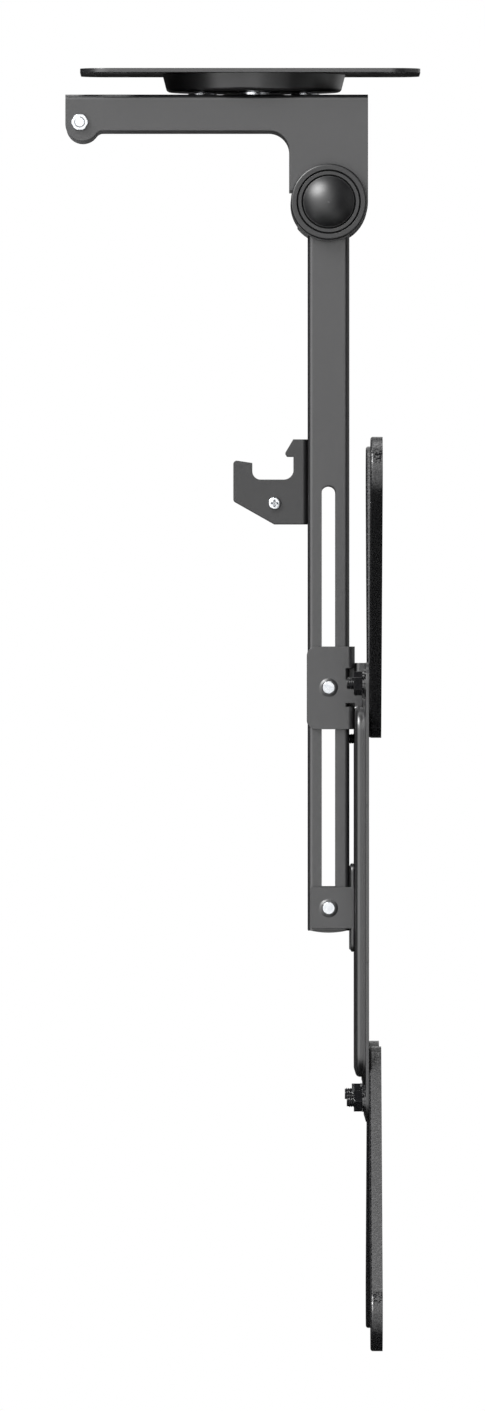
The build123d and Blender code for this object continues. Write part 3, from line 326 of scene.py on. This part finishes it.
def place_copies(tree, given, shape):
    """Ends a tree: the shape on every place, turned as the place says, made real, shaded and given its material."""
    turn = add(tree, "GeometryNodeInputNamedAttribute", {"data_type": "FLOAT_VECTOR"}, Name="turn")
    rotation = add(tree, "FunctionNodeEulerToRotation", Euler=turn.outputs["Attribute"]).outputs[0]
    copies = add(tree, "GeometryNodeInstanceOnPoints", Points=given["Places"], Instance=shape, Rotation=rotation)
    real = add(tree, "GeometryNodeRealizeInstances", Geometry=copies.outputs[0]).outputs[0]
    smooth = add(tree, "GeometryNodeSetShadeSmooth", {"domain": "FACE"}, Geometry=real).outputs[0]
    angle = add(tree, "GeometryNodeInputMeshEdgeAngle").outputs["Unsigned Angle"]
    shallow = add(tree, "FunctionNodeCompare", {"operation": "LESS_THAN"}, in0=angle,
                  in1=math.radians(SHARP_ABOVE_DEGREES)).outputs[0]
    shaded = add(tree, "GeometryNodeSetShadeSmooth", {"domain": "EDGE"}, Geometry=smooth,
                 Shade_Smooth=shallow).outputs[0]
    dressed = add(tree, "GeometryNodeSetMaterial", Geometry=shaded, Material=given["Material"]).outputs[0]
    add(tree, "NodeGroupOutput", Geometry=dressed)


print("edges are shaded smooth below, in degrees:", SHARP_ABOVE_DEGREES)

# %% [markdown]
# ## From a tree to a plain mesh
#
# A tree is alive as long as its modifier is. Each piece is kept as a plain mesh, so each tree is run once, its result
# is kept and the modifier is removed. It could be applied with an operator, but reading the evaluated object needs no
# selection. The last two calls set the moving body on which the piece rides and hide the plain CAD parts that it
# stands for. A tree builds its shape upright, and the turns below lay it to the side that it faces.


# %% Helper that bakes a tree
def bake(name, tree, places, sizes, body, replaced):
    """Runs a tree and keeps its result as one plain mesh that rides on a body and stands for CAD nodes."""
    base = bpy.data.meshes.new(name)
    base.from_pydata([point for point, turn in places], [], [])
    turns = base.attributes.new("turn", "FLOAT_VECTOR", "POINT")
    turns.data.foreach_set("vector", [angle for point, turn in places for angle in turn])
    piece = bpy.data.objects.new(name, base)
    bpy.context.scene.collection.objects.link(piece)
    modifier = piece.modifiers.new("tree", "NODES")
    modifier.node_group = tree
    for socket in tree.interface.items_tree:
        if socket.in_out == "INPUT" and socket.name in sizes:
            modifier[socket.identifier] = sizes[socket.name]
    depsgraph = bpy.context.evaluated_depsgraph_get()
    made = bpy.data.meshes.new_from_object(piece.evaluated_get(depsgraph), depsgraph=depsgraph)
    faulty = made.validate()
    piece.modifiers.remove(modifier)
    piece.data = made
    solid = bmesh.new()
    solid.from_mesh(made)
    volume = solid.calc_volume(signed=True) / MM ** 3
    solid.free()
    low, high = [[f(v.co[i] for v in made.vertices) / MM for i in range(3)] for f in (min, max)]
    print(name, "faulty:", faulty, "faces:", len(made.polygons), "volume in mm3:", round(volume, 1),
          "size in mm:", [round(h - l, 2) for l, h in zip(low, high)])
    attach(piece, body)
    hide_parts(*replaced)


AWAY_FROM_SCREEN = (0.0, math.radians(-90), 0.0)
TOWARDS_SCREEN = (0.0, math.radians(90), 0.0)
TOWARDS_NEAR_SIDE = (math.radians(90), 0.0, 0.0)
TOWARDS_FAR_SIDE = (math.radians(-90), 0.0, 0.0)
print("turn of a bolt that points away from the screen:", [round(math.degrees(a)) for a in AWAY_FROM_SCREEN])

# %% [markdown]
# ## Places from the frame
#
# The bolts, screws and washers stand where the CAD model has its plain ones. Their places could be typed in, but
# reading them from the frame keeps both in step. A node with several copies is split by the side of the middle on
# which each copy lies.


# %% Where the copies stand
def copies_of(name):
    """The lowest and highest corner of each copy in a CAD node, found by which side of the node's middle it is on."""
    node = nodes[name]
    corners = [node.matrix_world @ v.co for v in node.data.vertices]
    low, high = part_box(name)
    middle = (Vector(low) + Vector(high)) / 2
    groups = {}
    for co in corners:
        groups.setdefault((co.y > middle.y, co.z > middle.z), []).append(co)
    return [(Vector(map(min, *groups[side])), Vector(map(max, *groups[side]))) for side in sorted(groups)]


arm_bolt_boxes = copies_of("arm_bolts")
print("arm bolts at, in mm:", [[round(c / MM, 1) for c in (low + high) / 2] for low, high in arm_bolt_boxes])

# %% [markdown]
# ## Screw thread
#
# A thread is a ridge that climbs round a core, one pitch for each turn. It could be faked with a bump, but the
# outline of the bolt would stay straight, and bolt ends are seen against the light. Here a spiral curve carries a
# small diamond: half of it sinks into the core and the other half is the ridge. The ridge is a little less than half
# a pitch high, so neighbouring turns don't touch. This tree has no places, because the trees of the bolt and of the
# set screw use it inside.

# %% Tree of the thread
RIDGE_SHARE = 0.46
STEPS_PER_TURN = 18

thread, given = new_tree("Metric thread", {"Radius": "Float", "Pitch": "Float", "Length": "Float"})
ridge = add(thread, MATH, TIMES, in0=given["Pitch"], in1=RIDGE_SHARE).outputs[0]
core_radius = add(thread, MATH, MINUS, in0=given["Radius"], in1=ridge).outputs[0]
run = add(thread, MATH, MINUS, in0=given["Length"], in1=given["Pitch"]).outputs[0]
rotations = add(thread, MATH, OVER, in0=run, in1=given["Pitch"]).outputs[0]
spiral = add(thread, "GeometryNodeCurveSpiral", Resolution=STEPS_PER_TURN, Rotations=rotations,
             Start_Radius=core_radius, End_Radius=core_radius, Height=run).outputs[0]
upright = add(thread, "GeometryNodeSetCurveNormal", {"mode": "Z_UP"}, Curve=spiral).outputs[0]
diamond = add(thread, "GeometryNodeCurvePrimitiveCircle", Resolution=4, Radius=ridge).outputs[0]
swept = add(thread, "GeometryNodeCurveToMesh", Curve=upright, Profile_Curve=diamond, Fill_Caps=True).outputs[0]
half_pitch = add(thread, MATH, TIMES, in0=given["Pitch"], in1=0.5).outputs[0]
above_start = add(thread, "ShaderNodeCombineXYZ", Z=half_pitch).outputs[0]
raised = add(thread, "GeometryNodeTransform", Geometry=swept, Translation=above_start).outputs[0]
core = add(thread, "GeometryNodeMeshCylinder", Vertices=2 * STEPS_PER_TURN, Radius=core_radius,
           Depth=given["Length"]).outputs[0]
half_length = add(thread, MATH, TIMES, in0=given["Length"], in1=0.5).outputs[0]
core_place = add(thread, "ShaderNodeCombineXYZ", Z=half_length).outputs[0]
standing = add(thread, "GeometryNodeTransform", Geometry=core, Translation=core_place).outputs[0]
joined = add(thread, "GeometryNodeJoinGeometry", Geometry=[standing, raised]).outputs[0]
add(thread, "NodeGroupOutput", Geometry=joined)
print("nodes in the thread's tree:", len(thread.nodes))

# %% [markdown]
# ## Hexagon bolts of the screen arms
#
# Each arm hangs on one bolt, whose head lies in the arm and whose end stands out of the nut, away from the screen.
# The corners of a real head are turned off at 30 degrees. That could be a bevel, but a bevel would also round the
# flats. A hexagonal bar cut by a cone, as on the lathe, gives the true curved lines. Bar and cone are each longer than
# the head and pass it at opposite ends, because two faces that lie in one plane would leave double faces in the cut.

# %% Tree of the hexagon bolt
CHAMFER_DEGREES = 30
CHAMFER_FACE_SHARE = 0.48
BAR_SHARE = 1.2

bolt, given = new_tree("Hexagon bolt", {
    "Places": "Geometry", "Radius": "Float", "Pitch": "Float", "Length": "Float", "Head Flats": "Float",
    "Head Height": "Float", "Material": "Material"})
rod = add(bolt, "GeometryNodeGroup", {"node_tree": thread}, Radius=given["Radius"], Pitch=given["Pitch"],
          Length=given["Length"]).outputs[0]
corner = add(bolt, MATH, TIMES, in0=given["Head Flats"], in1=0.5 / math.cos(math.radians(30))).outputs[0]
bar_length = add(bolt, MATH, TIMES, in0=given["Head Height"], in1=BAR_SHARE).outputs[0]
bar = add(bolt, "GeometryNodeMeshCylinder", Vertices=6, Radius=corner, Depth=bar_length).outputs[0]
half_down = add(bolt, MATH, TIMES, in0=bar_length, in1=-0.5).outputs[0]
bar_place = add(bolt, "ShaderNodeCombineXYZ", Z=half_down).outputs[0]
bar = add(bolt, "GeometryNodeTransform", Geometry=bar, Translation=bar_place).outputs[0]
face_radius = add(bolt, MATH, TIMES, in0=given["Head Flats"], in1=CHAMFER_FACE_SHARE).outputs[0]
growth = add(bolt, MATH, TIMES, in0=bar_length, in1=math.tan(math.radians(90 - CHAMFER_DEGREES))).outputs[0]
wide_radius = add(bolt, MATH, PLUS, in0=face_radius, in1=growth).outputs[0]
turning = add(bolt, "GeometryNodeMeshCone", Vertices=48, Radius_Bottom=face_radius, Radius_Top=wide_radius,
              Depth=bar_length).outputs[0]
head_down = add(bolt, MATH, TIMES, in0=given["Head Height"], in1=-1.0).outputs[0]
turning_place = add(bolt, "ShaderNodeCombineXYZ", Z=head_down).outputs[0]
turning = add(bolt, "GeometryNodeTransform", Geometry=turning, Translation=turning_place).outputs[0]
head = add(bolt, "GeometryNodeMeshBoolean", {"operation": "INTERSECT"}, Mesh_2=[bar, turning]).outputs[0]
whole = add(bolt, "GeometryNodeJoinGeometry", Geometry=[rod, head]).outputs[0]
place_copies(bolt, given, whole)
print("nodes in the bolt's tree:", len(bolt.nodes))

# %% Bake the arm bolts
BOLT_RADIUS_MM = 3.0
BOLT_PITCH_MM = 1.0
BOLT_FLATS_MM = 10.0
BOLT_HEAD_MM = 4.0

bolt_places = [((high.x - BOLT_HEAD_MM * MM, (low.y + high.y) / 2, (low.z + high.z) / 2), AWAY_FROM_SCREEN)
               for low, high in arm_bolt_boxes]
bolt_length = arm_bolt_boxes[0][1].x - arm_bolt_boxes[0][0].x - BOLT_HEAD_MM * MM
bake("threaded_arm_bolts", bolt, bolt_places, {
    "Radius": BOLT_RADIUS_MM * MM, "Pitch": BOLT_PITCH_MM * MM, "Length": bolt_length,
    "Head Flats": BOLT_FLATS_MM * MM, "Head Height": BOLT_HEAD_MM * MM, "Material": oxide},
    "head", ["arm_bolts"])

# %% [markdown]
# ## Lock screw
#
# The lock screw is threaded over its whole length, and its end presses on the arm. It stands in the gap between the
# arm and the pan, where its thread shows in outline. A plain rod would do, but the thread's tree is there already, so
# this tree is the thread alone on one place. Screws of this diameter have a pitch of 0.8 mm, and 0.9 mm is drawn
# here, a little coarser.

# %% Tree and bake of the lock screw
LOCK_PITCH_MM = 0.9

set_screw, given = new_tree("Set screw", {
    "Places": "Geometry", "Radius": "Float", "Pitch": "Float", "Length": "Float", "Material": "Material"})
rod = add(set_screw, "GeometryNodeGroup", {"node_tree": thread}, Radius=given["Radius"], Pitch=given["Pitch"],
          Length=given["Length"]).outputs[0]
place_copies(set_screw, given, rod)

low, high = [Vector(corner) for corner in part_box("lock_screw")]
start = (low.x, (low.y + high.y) / 2, (low.z + high.z) / 2)
bake("threaded_lock_screw", set_screw, [(start, TOWARDS_SCREEN)], {
    "Radius": (high.z - low.z) / 2, "Pitch": LOCK_PITCH_MM * MM, "Length": high.x - low.x, "Material": oxide},
    "head", ["lock_screw"])

# %% [markdown]
# ## Cross-recess screws of the hook
#
# Each cheek of the hook has one bright pan-head screw. Its head is pressed: steep at the rim, nearly flat on top, with
# a tapered cross. The dome could be a scaled sphere, but that is too pointed, so the tree bends a sphere to a fuller
# curve with a power of 0.3. The cross is two tapered wedges that are cut out of it, crossed at the middle. A wedge
# stands a little out of the head, so that it cuts right through the top.

# %% Tree of the cross-recess screw
FULLNESS = 0.3
NEARLY_ZERO = 0.001
WEDGE_FLOOR_RADIUS = 0.3
WEDGE_SHARE = 1.2

pan_head, given = new_tree("Pan-head screw", {
    "Places": "Geometry", "Head Radius": "Float", "Head Height": "Float", "Recess Length": "Float",
    "Recess Width": "Float", "Recess Depth": "Float", "Material": "Material"})
ball = add(pan_head, "GeometryNodeMeshUVSphere", Segments=48, Rings=24, Radius=1.0).outputs[0]
position = add(pan_head, "GeometryNodeInputPosition").outputs[0]
point = add(pan_head, "ShaderNodeSeparateXYZ", in0=position).outputs
flat = add(pan_head, "ShaderNodeCombineXYZ", X=point[0], Y=point[1]).outputs[0]
out_from_axis = add(pan_head, "ShaderNodeVectorMath", {"operation": "LENGTH"}, in0=flat).outputs["Value"]
not_zero = add(pan_head, MATH, LARGER, in0=out_from_axis, in1=NEARLY_ZERO).outputs[0]
widened = add(pan_head, MATH, POWER, in0=not_zero, in1=FULLNESS - 1).outputs[0]
spread = add(pan_head, MATH, TIMES, in0=widened, in1=given["Head Radius"]).outputs[0]
upper_half = add(pan_head, MATH, LARGER, in0=point[2], in1=0.0).outputs[0]
height = add(pan_head, MATH, POWER, in0=upper_half, in1=FULLNESS).outputs[0]
moved = add(pan_head, "ShaderNodeCombineXYZ",
            X=add(pan_head, MATH, TIMES, in0=point[0], in1=spread).outputs[0],
            Y=add(pan_head, MATH, TIMES, in0=point[1], in1=spread).outputs[0],
            Z=add(pan_head, MATH, TIMES, in0=height, in1=given["Head Height"]).outputs[0]).outputs[0]
dome = add(pan_head, "GeometryNodeSetPosition", Geometry=ball, Position=moved).outputs[0]
square = add(pan_head, "GeometryNodeMeshCone", Vertices=4, Radius_Top=math.sqrt(0.5),
             Radius_Bottom=WEDGE_FLOOR_RADIUS, Depth=1.0).outputs[0]
aligned = add(pan_head, "GeometryNodeTransform", Geometry=square, Rotation=(0, 0, math.radians(45))).outputs[0]
wedge_height = add(pan_head, MATH, TIMES, in0=given["Recess Depth"], in1=WEDGE_SHARE).outputs[0]
wedge_size = add(pan_head, "ShaderNodeCombineXYZ", X=given["Recess Length"], Y=given["Recess Width"],
                 Z=wedge_height).outputs[0]
floor_height = add(pan_head, MATH, MINUS, in0=given["Head Height"], in1=given["Recess Depth"]).outputs[0]
lift = add(pan_head, "ShaderNodeCombineXYZ", Z=floor_height).outputs[0]
wedge = add(pan_head, "GeometryNodeTransform", Geometry=aligned, Translation=lift, Scale=wedge_size).outputs[0]
crossing = add(pan_head, "GeometryNodeTransform", Geometry=wedge, Rotation=(0, 0, math.radians(90))).outputs[0]
cut = add(pan_head, "GeometryNodeMeshBoolean", {"operation": "DIFFERENCE"}, Mesh_1=dome,
          Mesh_2=[wedge, crossing]).outputs[0]
place_copies(pan_head, given, cut)
print("nodes in the screw's tree:", len(pan_head.nodes))

# %% Bake the hook screws
SCREW_HEAD_RADIUS_MM = 3.05
SCREW_HEAD_MM = 1.9
RECESS_LENGTH_MM = 4.2
RECESS_WIDTH_MM = 1.0
RECESS_DEPTH_MM = 1.3

low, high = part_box("hook_screws")
screw_x = (low[0] + high[0]) / 2
screw_z = (low[2] + high[2]) / 2
screw_places = [((screw_x, low[1] + SCREW_HEAD_MM * MM, screw_z), TOWARDS_NEAR_SIDE),
                ((screw_x, high[1] - SCREW_HEAD_MM * MM, screw_z), TOWARDS_FAR_SIDE)]
bake("cross_recess_screws", pan_head, screw_places, {
    "Head Radius": SCREW_HEAD_RADIUS_MM * MM, "Head Height": SCREW_HEAD_MM * MM,
    "Recess Length": RECESS_LENGTH_MM * MM, "Recess Width": RECESS_WIDTH_MM * MM,
    "Recess Depth": RECESS_DEPTH_MM * MM, "Material": zinc},
    "arm", ["hook_screws"])

# %% [markdown]
# ## Spring washers
#
# A spring washer is one turn of square wire with a gap, and one end stands a little above the other. A flat ring with
# a slot would look the same from straight ahead, but not from the side, where it is mostly seen. The tree winds a
# rectangle round a spiral of a little less than one turn.

# %% Tree of the spring washer
spring, given = new_tree("Spring washer", {
    "Places": "Geometry", "Middle Radius": "Float", "Wire Width": "Float", "Wire Height": "Float", "Gap": "Float",
    "Rise": "Float", "Material": "Material"})
way_round = add(spring, MATH, TIMES, in0=given["Middle Radius"], in1=math.tau).outputs[0]
gap_share = add(spring, MATH, OVER, in0=given["Gap"], in1=way_round).outputs[0]
wire_share = add(spring, MATH, MINUS, in0=1.0, in1=gap_share).outputs[0]
coil = add(spring, "GeometryNodeCurveSpiral", Resolution=48, Rotations=wire_share,
           Start_Radius=given["Middle Radius"], End_Radius=given["Middle Radius"], Height=given["Rise"]).outputs[0]
upright = add(spring, "GeometryNodeSetCurveNormal", {"mode": "Z_UP"}, Curve=coil).outputs[0]
wire = add(spring, "GeometryNodeCurvePrimitiveQuadrilateral", Width=given["Wire Width"],
           Height=given["Wire Height"]).outputs[0]
wound = add(spring, "GeometryNodeCurveToMesh", Curve=upright, Profile_Curve=wire, Fill_Caps=True).outputs[0]
place_copies(spring, given, wound)
print("nodes in the washer's tree:", len(spring.nodes))

# %% Bake the spring washers
SPRING_RISE_MM = 0.15
SPRING_GAP_MM = 1.0
WIRE_WIDTH_MM = 2.25

spring_places = []
for low, high in copies_of("arm_spring_washers"):
    centre = (low + high) / 2
    spring_places.append(((centre.x + SPRING_RISE_MM / 2 * MM, centre.y, centre.z), AWAY_FROM_SCREEN))
spring_sheet = high.x - low.x
bake("split_spring_washers", spring, spring_places, {
    "Middle Radius": (high.z - low.z) / 2 - WIRE_WIDTH_MM / 2 * MM, "Wire Width": WIRE_WIDTH_MM * MM,
    "Wire Height": spring_sheet - SPRING_RISE_MM * MM, "Gap": SPRING_GAP_MM * MM, "Rise": SPRING_RISE_MM * MM,
    "Material": oxide}, "head", ["arm_spring_washers"])

# %% [markdown]
# ## Grooves of the hinge caps
#
# The flat rim of each hinge cap has two ring-shaped grooves, which look black because hardly any light reaches their
# floor. The CAD model has them as shallow notches. They could be painted as dark rings, but paint would stay dark
# under a light that shines straight in. So a copy of each cap gets its notches pushed in to their full depth.
#
# A CAD part is loose triangles, and the copy's doubles are merged first. That would also smooth its sharp edges, so
# each corner of each triangle notes its shading beforehand and gets it back. Only the groove walls get a new one.

# %% Merge a copy and keep its shading
MERGE_MM = 0.001


def merged_copy(name):
    """A copy of a CAD node's mesh, the same with doubles merged, and the shading of each corner of its triangles."""
    mesh = nodes[name].data.copy()
    mesh.transform(nodes[name].matrix_world)
    before = [[(mesh.vertices[v].co.copy(), mesh.corner_normals[c].vector.copy())
               for v, c in zip(face.vertices, face.loop_indices)] for face in mesh.polygons]
    solid = bmesh.new()
    solid.from_mesh(mesh)
    origin = solid.faces.layers.int.new("origin")
    for face in solid.faces:
        face[origin] = face.index
    bmesh.ops.remove_doubles(solid, verts=solid.verts, dist=MERGE_MM * MM)
    shading = [[min(before[face[origin]], key=lambda old: (old[0] - vertex.co).length)[1] for vertex in face.verts]
               for face in solid.faces]
    solid.faces.layers.int.remove(origin)
    return mesh, solid, shading


print("points closer than this are merged, in mm:", MERGE_MM)

# %% Deepen the grooves
GROOVE_RADII_MM = (15.1, 12.7)
NOTCH_MM = 0.42
EXTRA_DEPTH_MM = 0.9
RIM_HEIGHT_MM = 7.6
NEAR_MM = 0.1


def deepen_grooves(name, outward):
    """A copy of a hinge cap with deeper grooves. Outward is -1 or 1, the way along Y that its dome faces."""
    low, high = [Vector(corner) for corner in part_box(name)]
    axis_x, axis_z = (low.x + high.x) / 2, (low.z + high.z) / 2
    base = high.y if outward < 0 else low.y
    mesh, solid, shading = merged_copy(name)
    moved = set()
    for vertex in solid.verts:
        radius = math.hypot(vertex.co.x - axis_x, vertex.co.z - axis_z) / MM
        below_rim = RIM_HEIGHT_MM - (vertex.co.y - base) * outward / MM
        at_groove = any(abs(radius - groove) < NEAR_MM for groove in GROOVE_RADII_MM)
        if at_groove and abs(below_rim - NOTCH_MM) < NEAR_MM:
            vertex.co.y -= outward * EXTRA_DEPTH_MM * MM
            moved.add(vertex)
    solid.normal_update()
    normals = []
    for face, old in zip(solid.faces, shading):
        normals.extend([face.normal.copy()] * 3 if moved & set(face.verts) else old)
    open_edges = sum(not edge.is_manifold for edge in solid.edges)
    print(name, "points moved:", len(moved), "open edges:", open_edges)
    solid.to_mesh(mesh)
    solid.free()
    mesh.normals_split_custom_set(normals)
    piece = bpy.data.objects.new("deep_grooved_" + name, mesh)
    bpy.context.scene.collection.objects.link(piece)
    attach(piece, "hanger")
    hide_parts(name)


deepen_grooves("hinge_cap_near", -1)
deepen_grooves("hinge_cap_far", 1)

# %% [markdown]
# ## Studio
#
# A catalogue photograph of black metal is lit by large soft boxes, because black steel shows little but their
# reflection. They could be placed by hand, but each box here is an area lamp given by the part of the sky that it
# fills, seen from the object, and by its radiance. So a face that mirrors a box of radiance 3 has 3 times the
# brightness of a white wall, times the few percent that a varnish reflects. The lamps don't show to the camera.

# %% Lamps
LIT_POINT = Vector((-0.005, 0.0, -0.3))
LAMP_DISTANCE = 8.0
WATTS_PER_RADIANCE = 4  # an area lamp of 4 W for each square metre looks as bright as a white wall


def softbox(name, azimuth, elevation, radiance):
    """An area lamp that fills azimuth (low, high) and elevation (low, high), in degrees, and faces the object."""
    a = math.radians(sum(azimuth) / 2)
    e = math.radians(sum(elevation) / 2)
    half_a = math.radians((azimuth[1] - azimuth[0]) / 2)
    half_e = math.radians((elevation[1] - elevation[0]) / 2)
    lamp = bpy.data.lights.new(name, "AREA")
    lamp.shape = "RECTANGLE"
    width = 2 * LAMP_DISTANCE * math.tan(half_a)
    height = 2 * LAMP_DISTANCE * math.tan(half_e)
    lamp.size = width
    lamp.size_y = height
    lamp.energy = radiance * WATTS_PER_RADIANCE * width * height
    holder = bpy.data.objects.new(name, lamp)
    bpy.context.scene.collection.objects.link(holder)
    way = Vector((math.sin(a) * math.cos(e), -math.cos(a) * math.cos(e), math.sin(e)))
    holder.location = LIT_POINT + way * LAMP_DISTANCE
    holder.rotation_euler = way.to_track_quat("Z", "Y").to_euler()
    holder.visible_camera = False


softbox("key_box", (-57, -27), (25, 55), 36.0)
softbox("side_box", (-56, -8), (-25, 25), 3.2)
softbox("front_box", (-8, 10), (3, 34), 3.8)
softbox("front_low_box", (-8, 10), (-24, -3), 2.8)
softbox("low_box", (-5, 43), (-50, -24), 1.6)
softbox("low_strip", (-60, -47), (-50, -25), 2.3)
softbox("overhead_box", (-24, 24), (82, 112), 3.9)
softbox("right_fill", (55, 120), (-20, 35), 0.6)
softbox("rear_right_fill", (128, 165), (-30, 30), 0.5)
softbox("rear_box", (145, 200), (5, 68), 0.8)

# %% [markdown]
# ## White ground
#
# The photograph has a white ground. A brighter room would also give one, but it would turn black steel grey. So the
# world is white to the camera alone, and a faint light to everything else. The rays of reflections and of what glass
# lets through have a strength of their own, so the ground could be made to show in polished parts. It is set as low
# as the room's light here and so changes nothing, because a white ground mirrored in black steel turns it grey.

# %% World
GROUND_IN_MIRRORS = 0.03
ROOM_LIGHT = 0.03

scene = bpy.context.scene
world = bpy.data.worlds.new("white_ground")
scene.world = world
world.use_nodes = True
tree = world.node_tree
tree.nodes.clear()
ray = add(tree, "ShaderNodeLightPath").outputs
mirrored = add(tree, MATH, LARGER, in0=ray["Is Glossy Ray"], in1=ray["Is Transmission Ray"]).outputs[0]
weaker = add(tree, MATH, TIMES, in0=mirrored, in1=GROUND_IN_MIRRORS).outputs[0]
seen = add(tree, MATH, LARGER, in0=ray["Is Camera Ray"], in1=weaker).outputs[0]
strength = add(tree, MATH, LARGER, in0=seen, in1=ROOM_LIGHT).outputs[0]
ground = add(tree, "ShaderNodeBackground", Color=(1, 1, 1, 1), Strength=strength)
output = add(tree, "ShaderNodeOutputWorld")
tree.links.new(ground.outputs[0], output.inputs["Surface"])
print("strength of the ground in mirrors:", GROUND_IN_MIRRORS)

# %% [markdown]
# ## Floor
#
# A pale floor lies below the picture and keeps the object's shadow. It could be a large bent sheet as in a studio,
# but the object hangs free and the world already gives the white behind it, so one square face will do. It doesn't
# show in reflections, which would otherwise grey the undersides.

# %% Pale floor
FLOOR_HALF_SIDE = 3.0
FLOOR_Z = -0.75

floor_mesh = bpy.data.meshes.new("floor")
floor_mesh.from_pydata([(x * FLOOR_HALF_SIDE, y * FLOOR_HALF_SIDE, FLOOR_Z)
                        for x, y in ((-1, -1), (1, -1), (1, 1), (-1, 1))], [], [(0, 1, 2, 3)])
floor = bpy.data.objects.new("floor", floor_mesh)
scene.collection.objects.link(floor)
pale, tree = new_material("pale_floor")
shader = add(tree, "ShaderNodeBsdfDiffuse", Color=linear("#F4F4F2"))
finish_material(tree, shader)
floor_mesh.materials.append(pale)
floor.visible_glossy = False

# %% [markdown]
# ## Camera
#
# The photograph looks straight along the hinge bolt and has hardly any perspective, as from far away with a long
# lens. A shorter lens from nearby would do for a single part, but here the far arms would stand out beside the near
# ones. The distance follows from the lens and from what one pixel measures in the plane of the near arms. The camera
# looks at the middle of the picture, which is counted from the pixels of the swivel axis and of the ceiling.

# %% Camera
PHOTO_WIDTH_PX = 485
PHOTO_HEIGHT_PX = 1411
AXIS_PX = 254
CEILING_PX = 66
MM_PER_PIXEL = 0.4788
NEAR_ARMS_Y = -0.105
DOWN_MM = 0.75  # found by laying the edges of both pictures over each other
SENSOR_MM = 36.0
LENS_MM = 575.0
CLIP_END = 100.0

picture_height = PHOTO_HEIGHT_PX * MM_PER_PIXEL * MM
distance = picture_height * LENS_MM / SENSOR_MM
camera_data = bpy.data.cameras.new("camera")
camera_data.lens = LENS_MM
camera_data.sensor_width = SENSOR_MM
camera_data.clip_end = CLIP_END
camera = bpy.data.objects.new("camera", camera_data)
scene.collection.objects.link(camera)
camera_x = (PHOTO_WIDTH_PX / 2 - AXIS_PX) * MM_PER_PIXEL * MM
camera_z = (CEILING_PX - PHOTO_HEIGHT_PX / 2) * MM_PER_PIXEL * MM - DOWN_MM * MM
camera.location = (camera_x, NEAR_ARMS_Y - distance, camera_z)
camera.rotation_euler = (math.radians(90), 0, 0)
scene.camera = camera
scene.view_settings.view_transform = "Standard"
print("camera distance in m:", round(distance, 3))
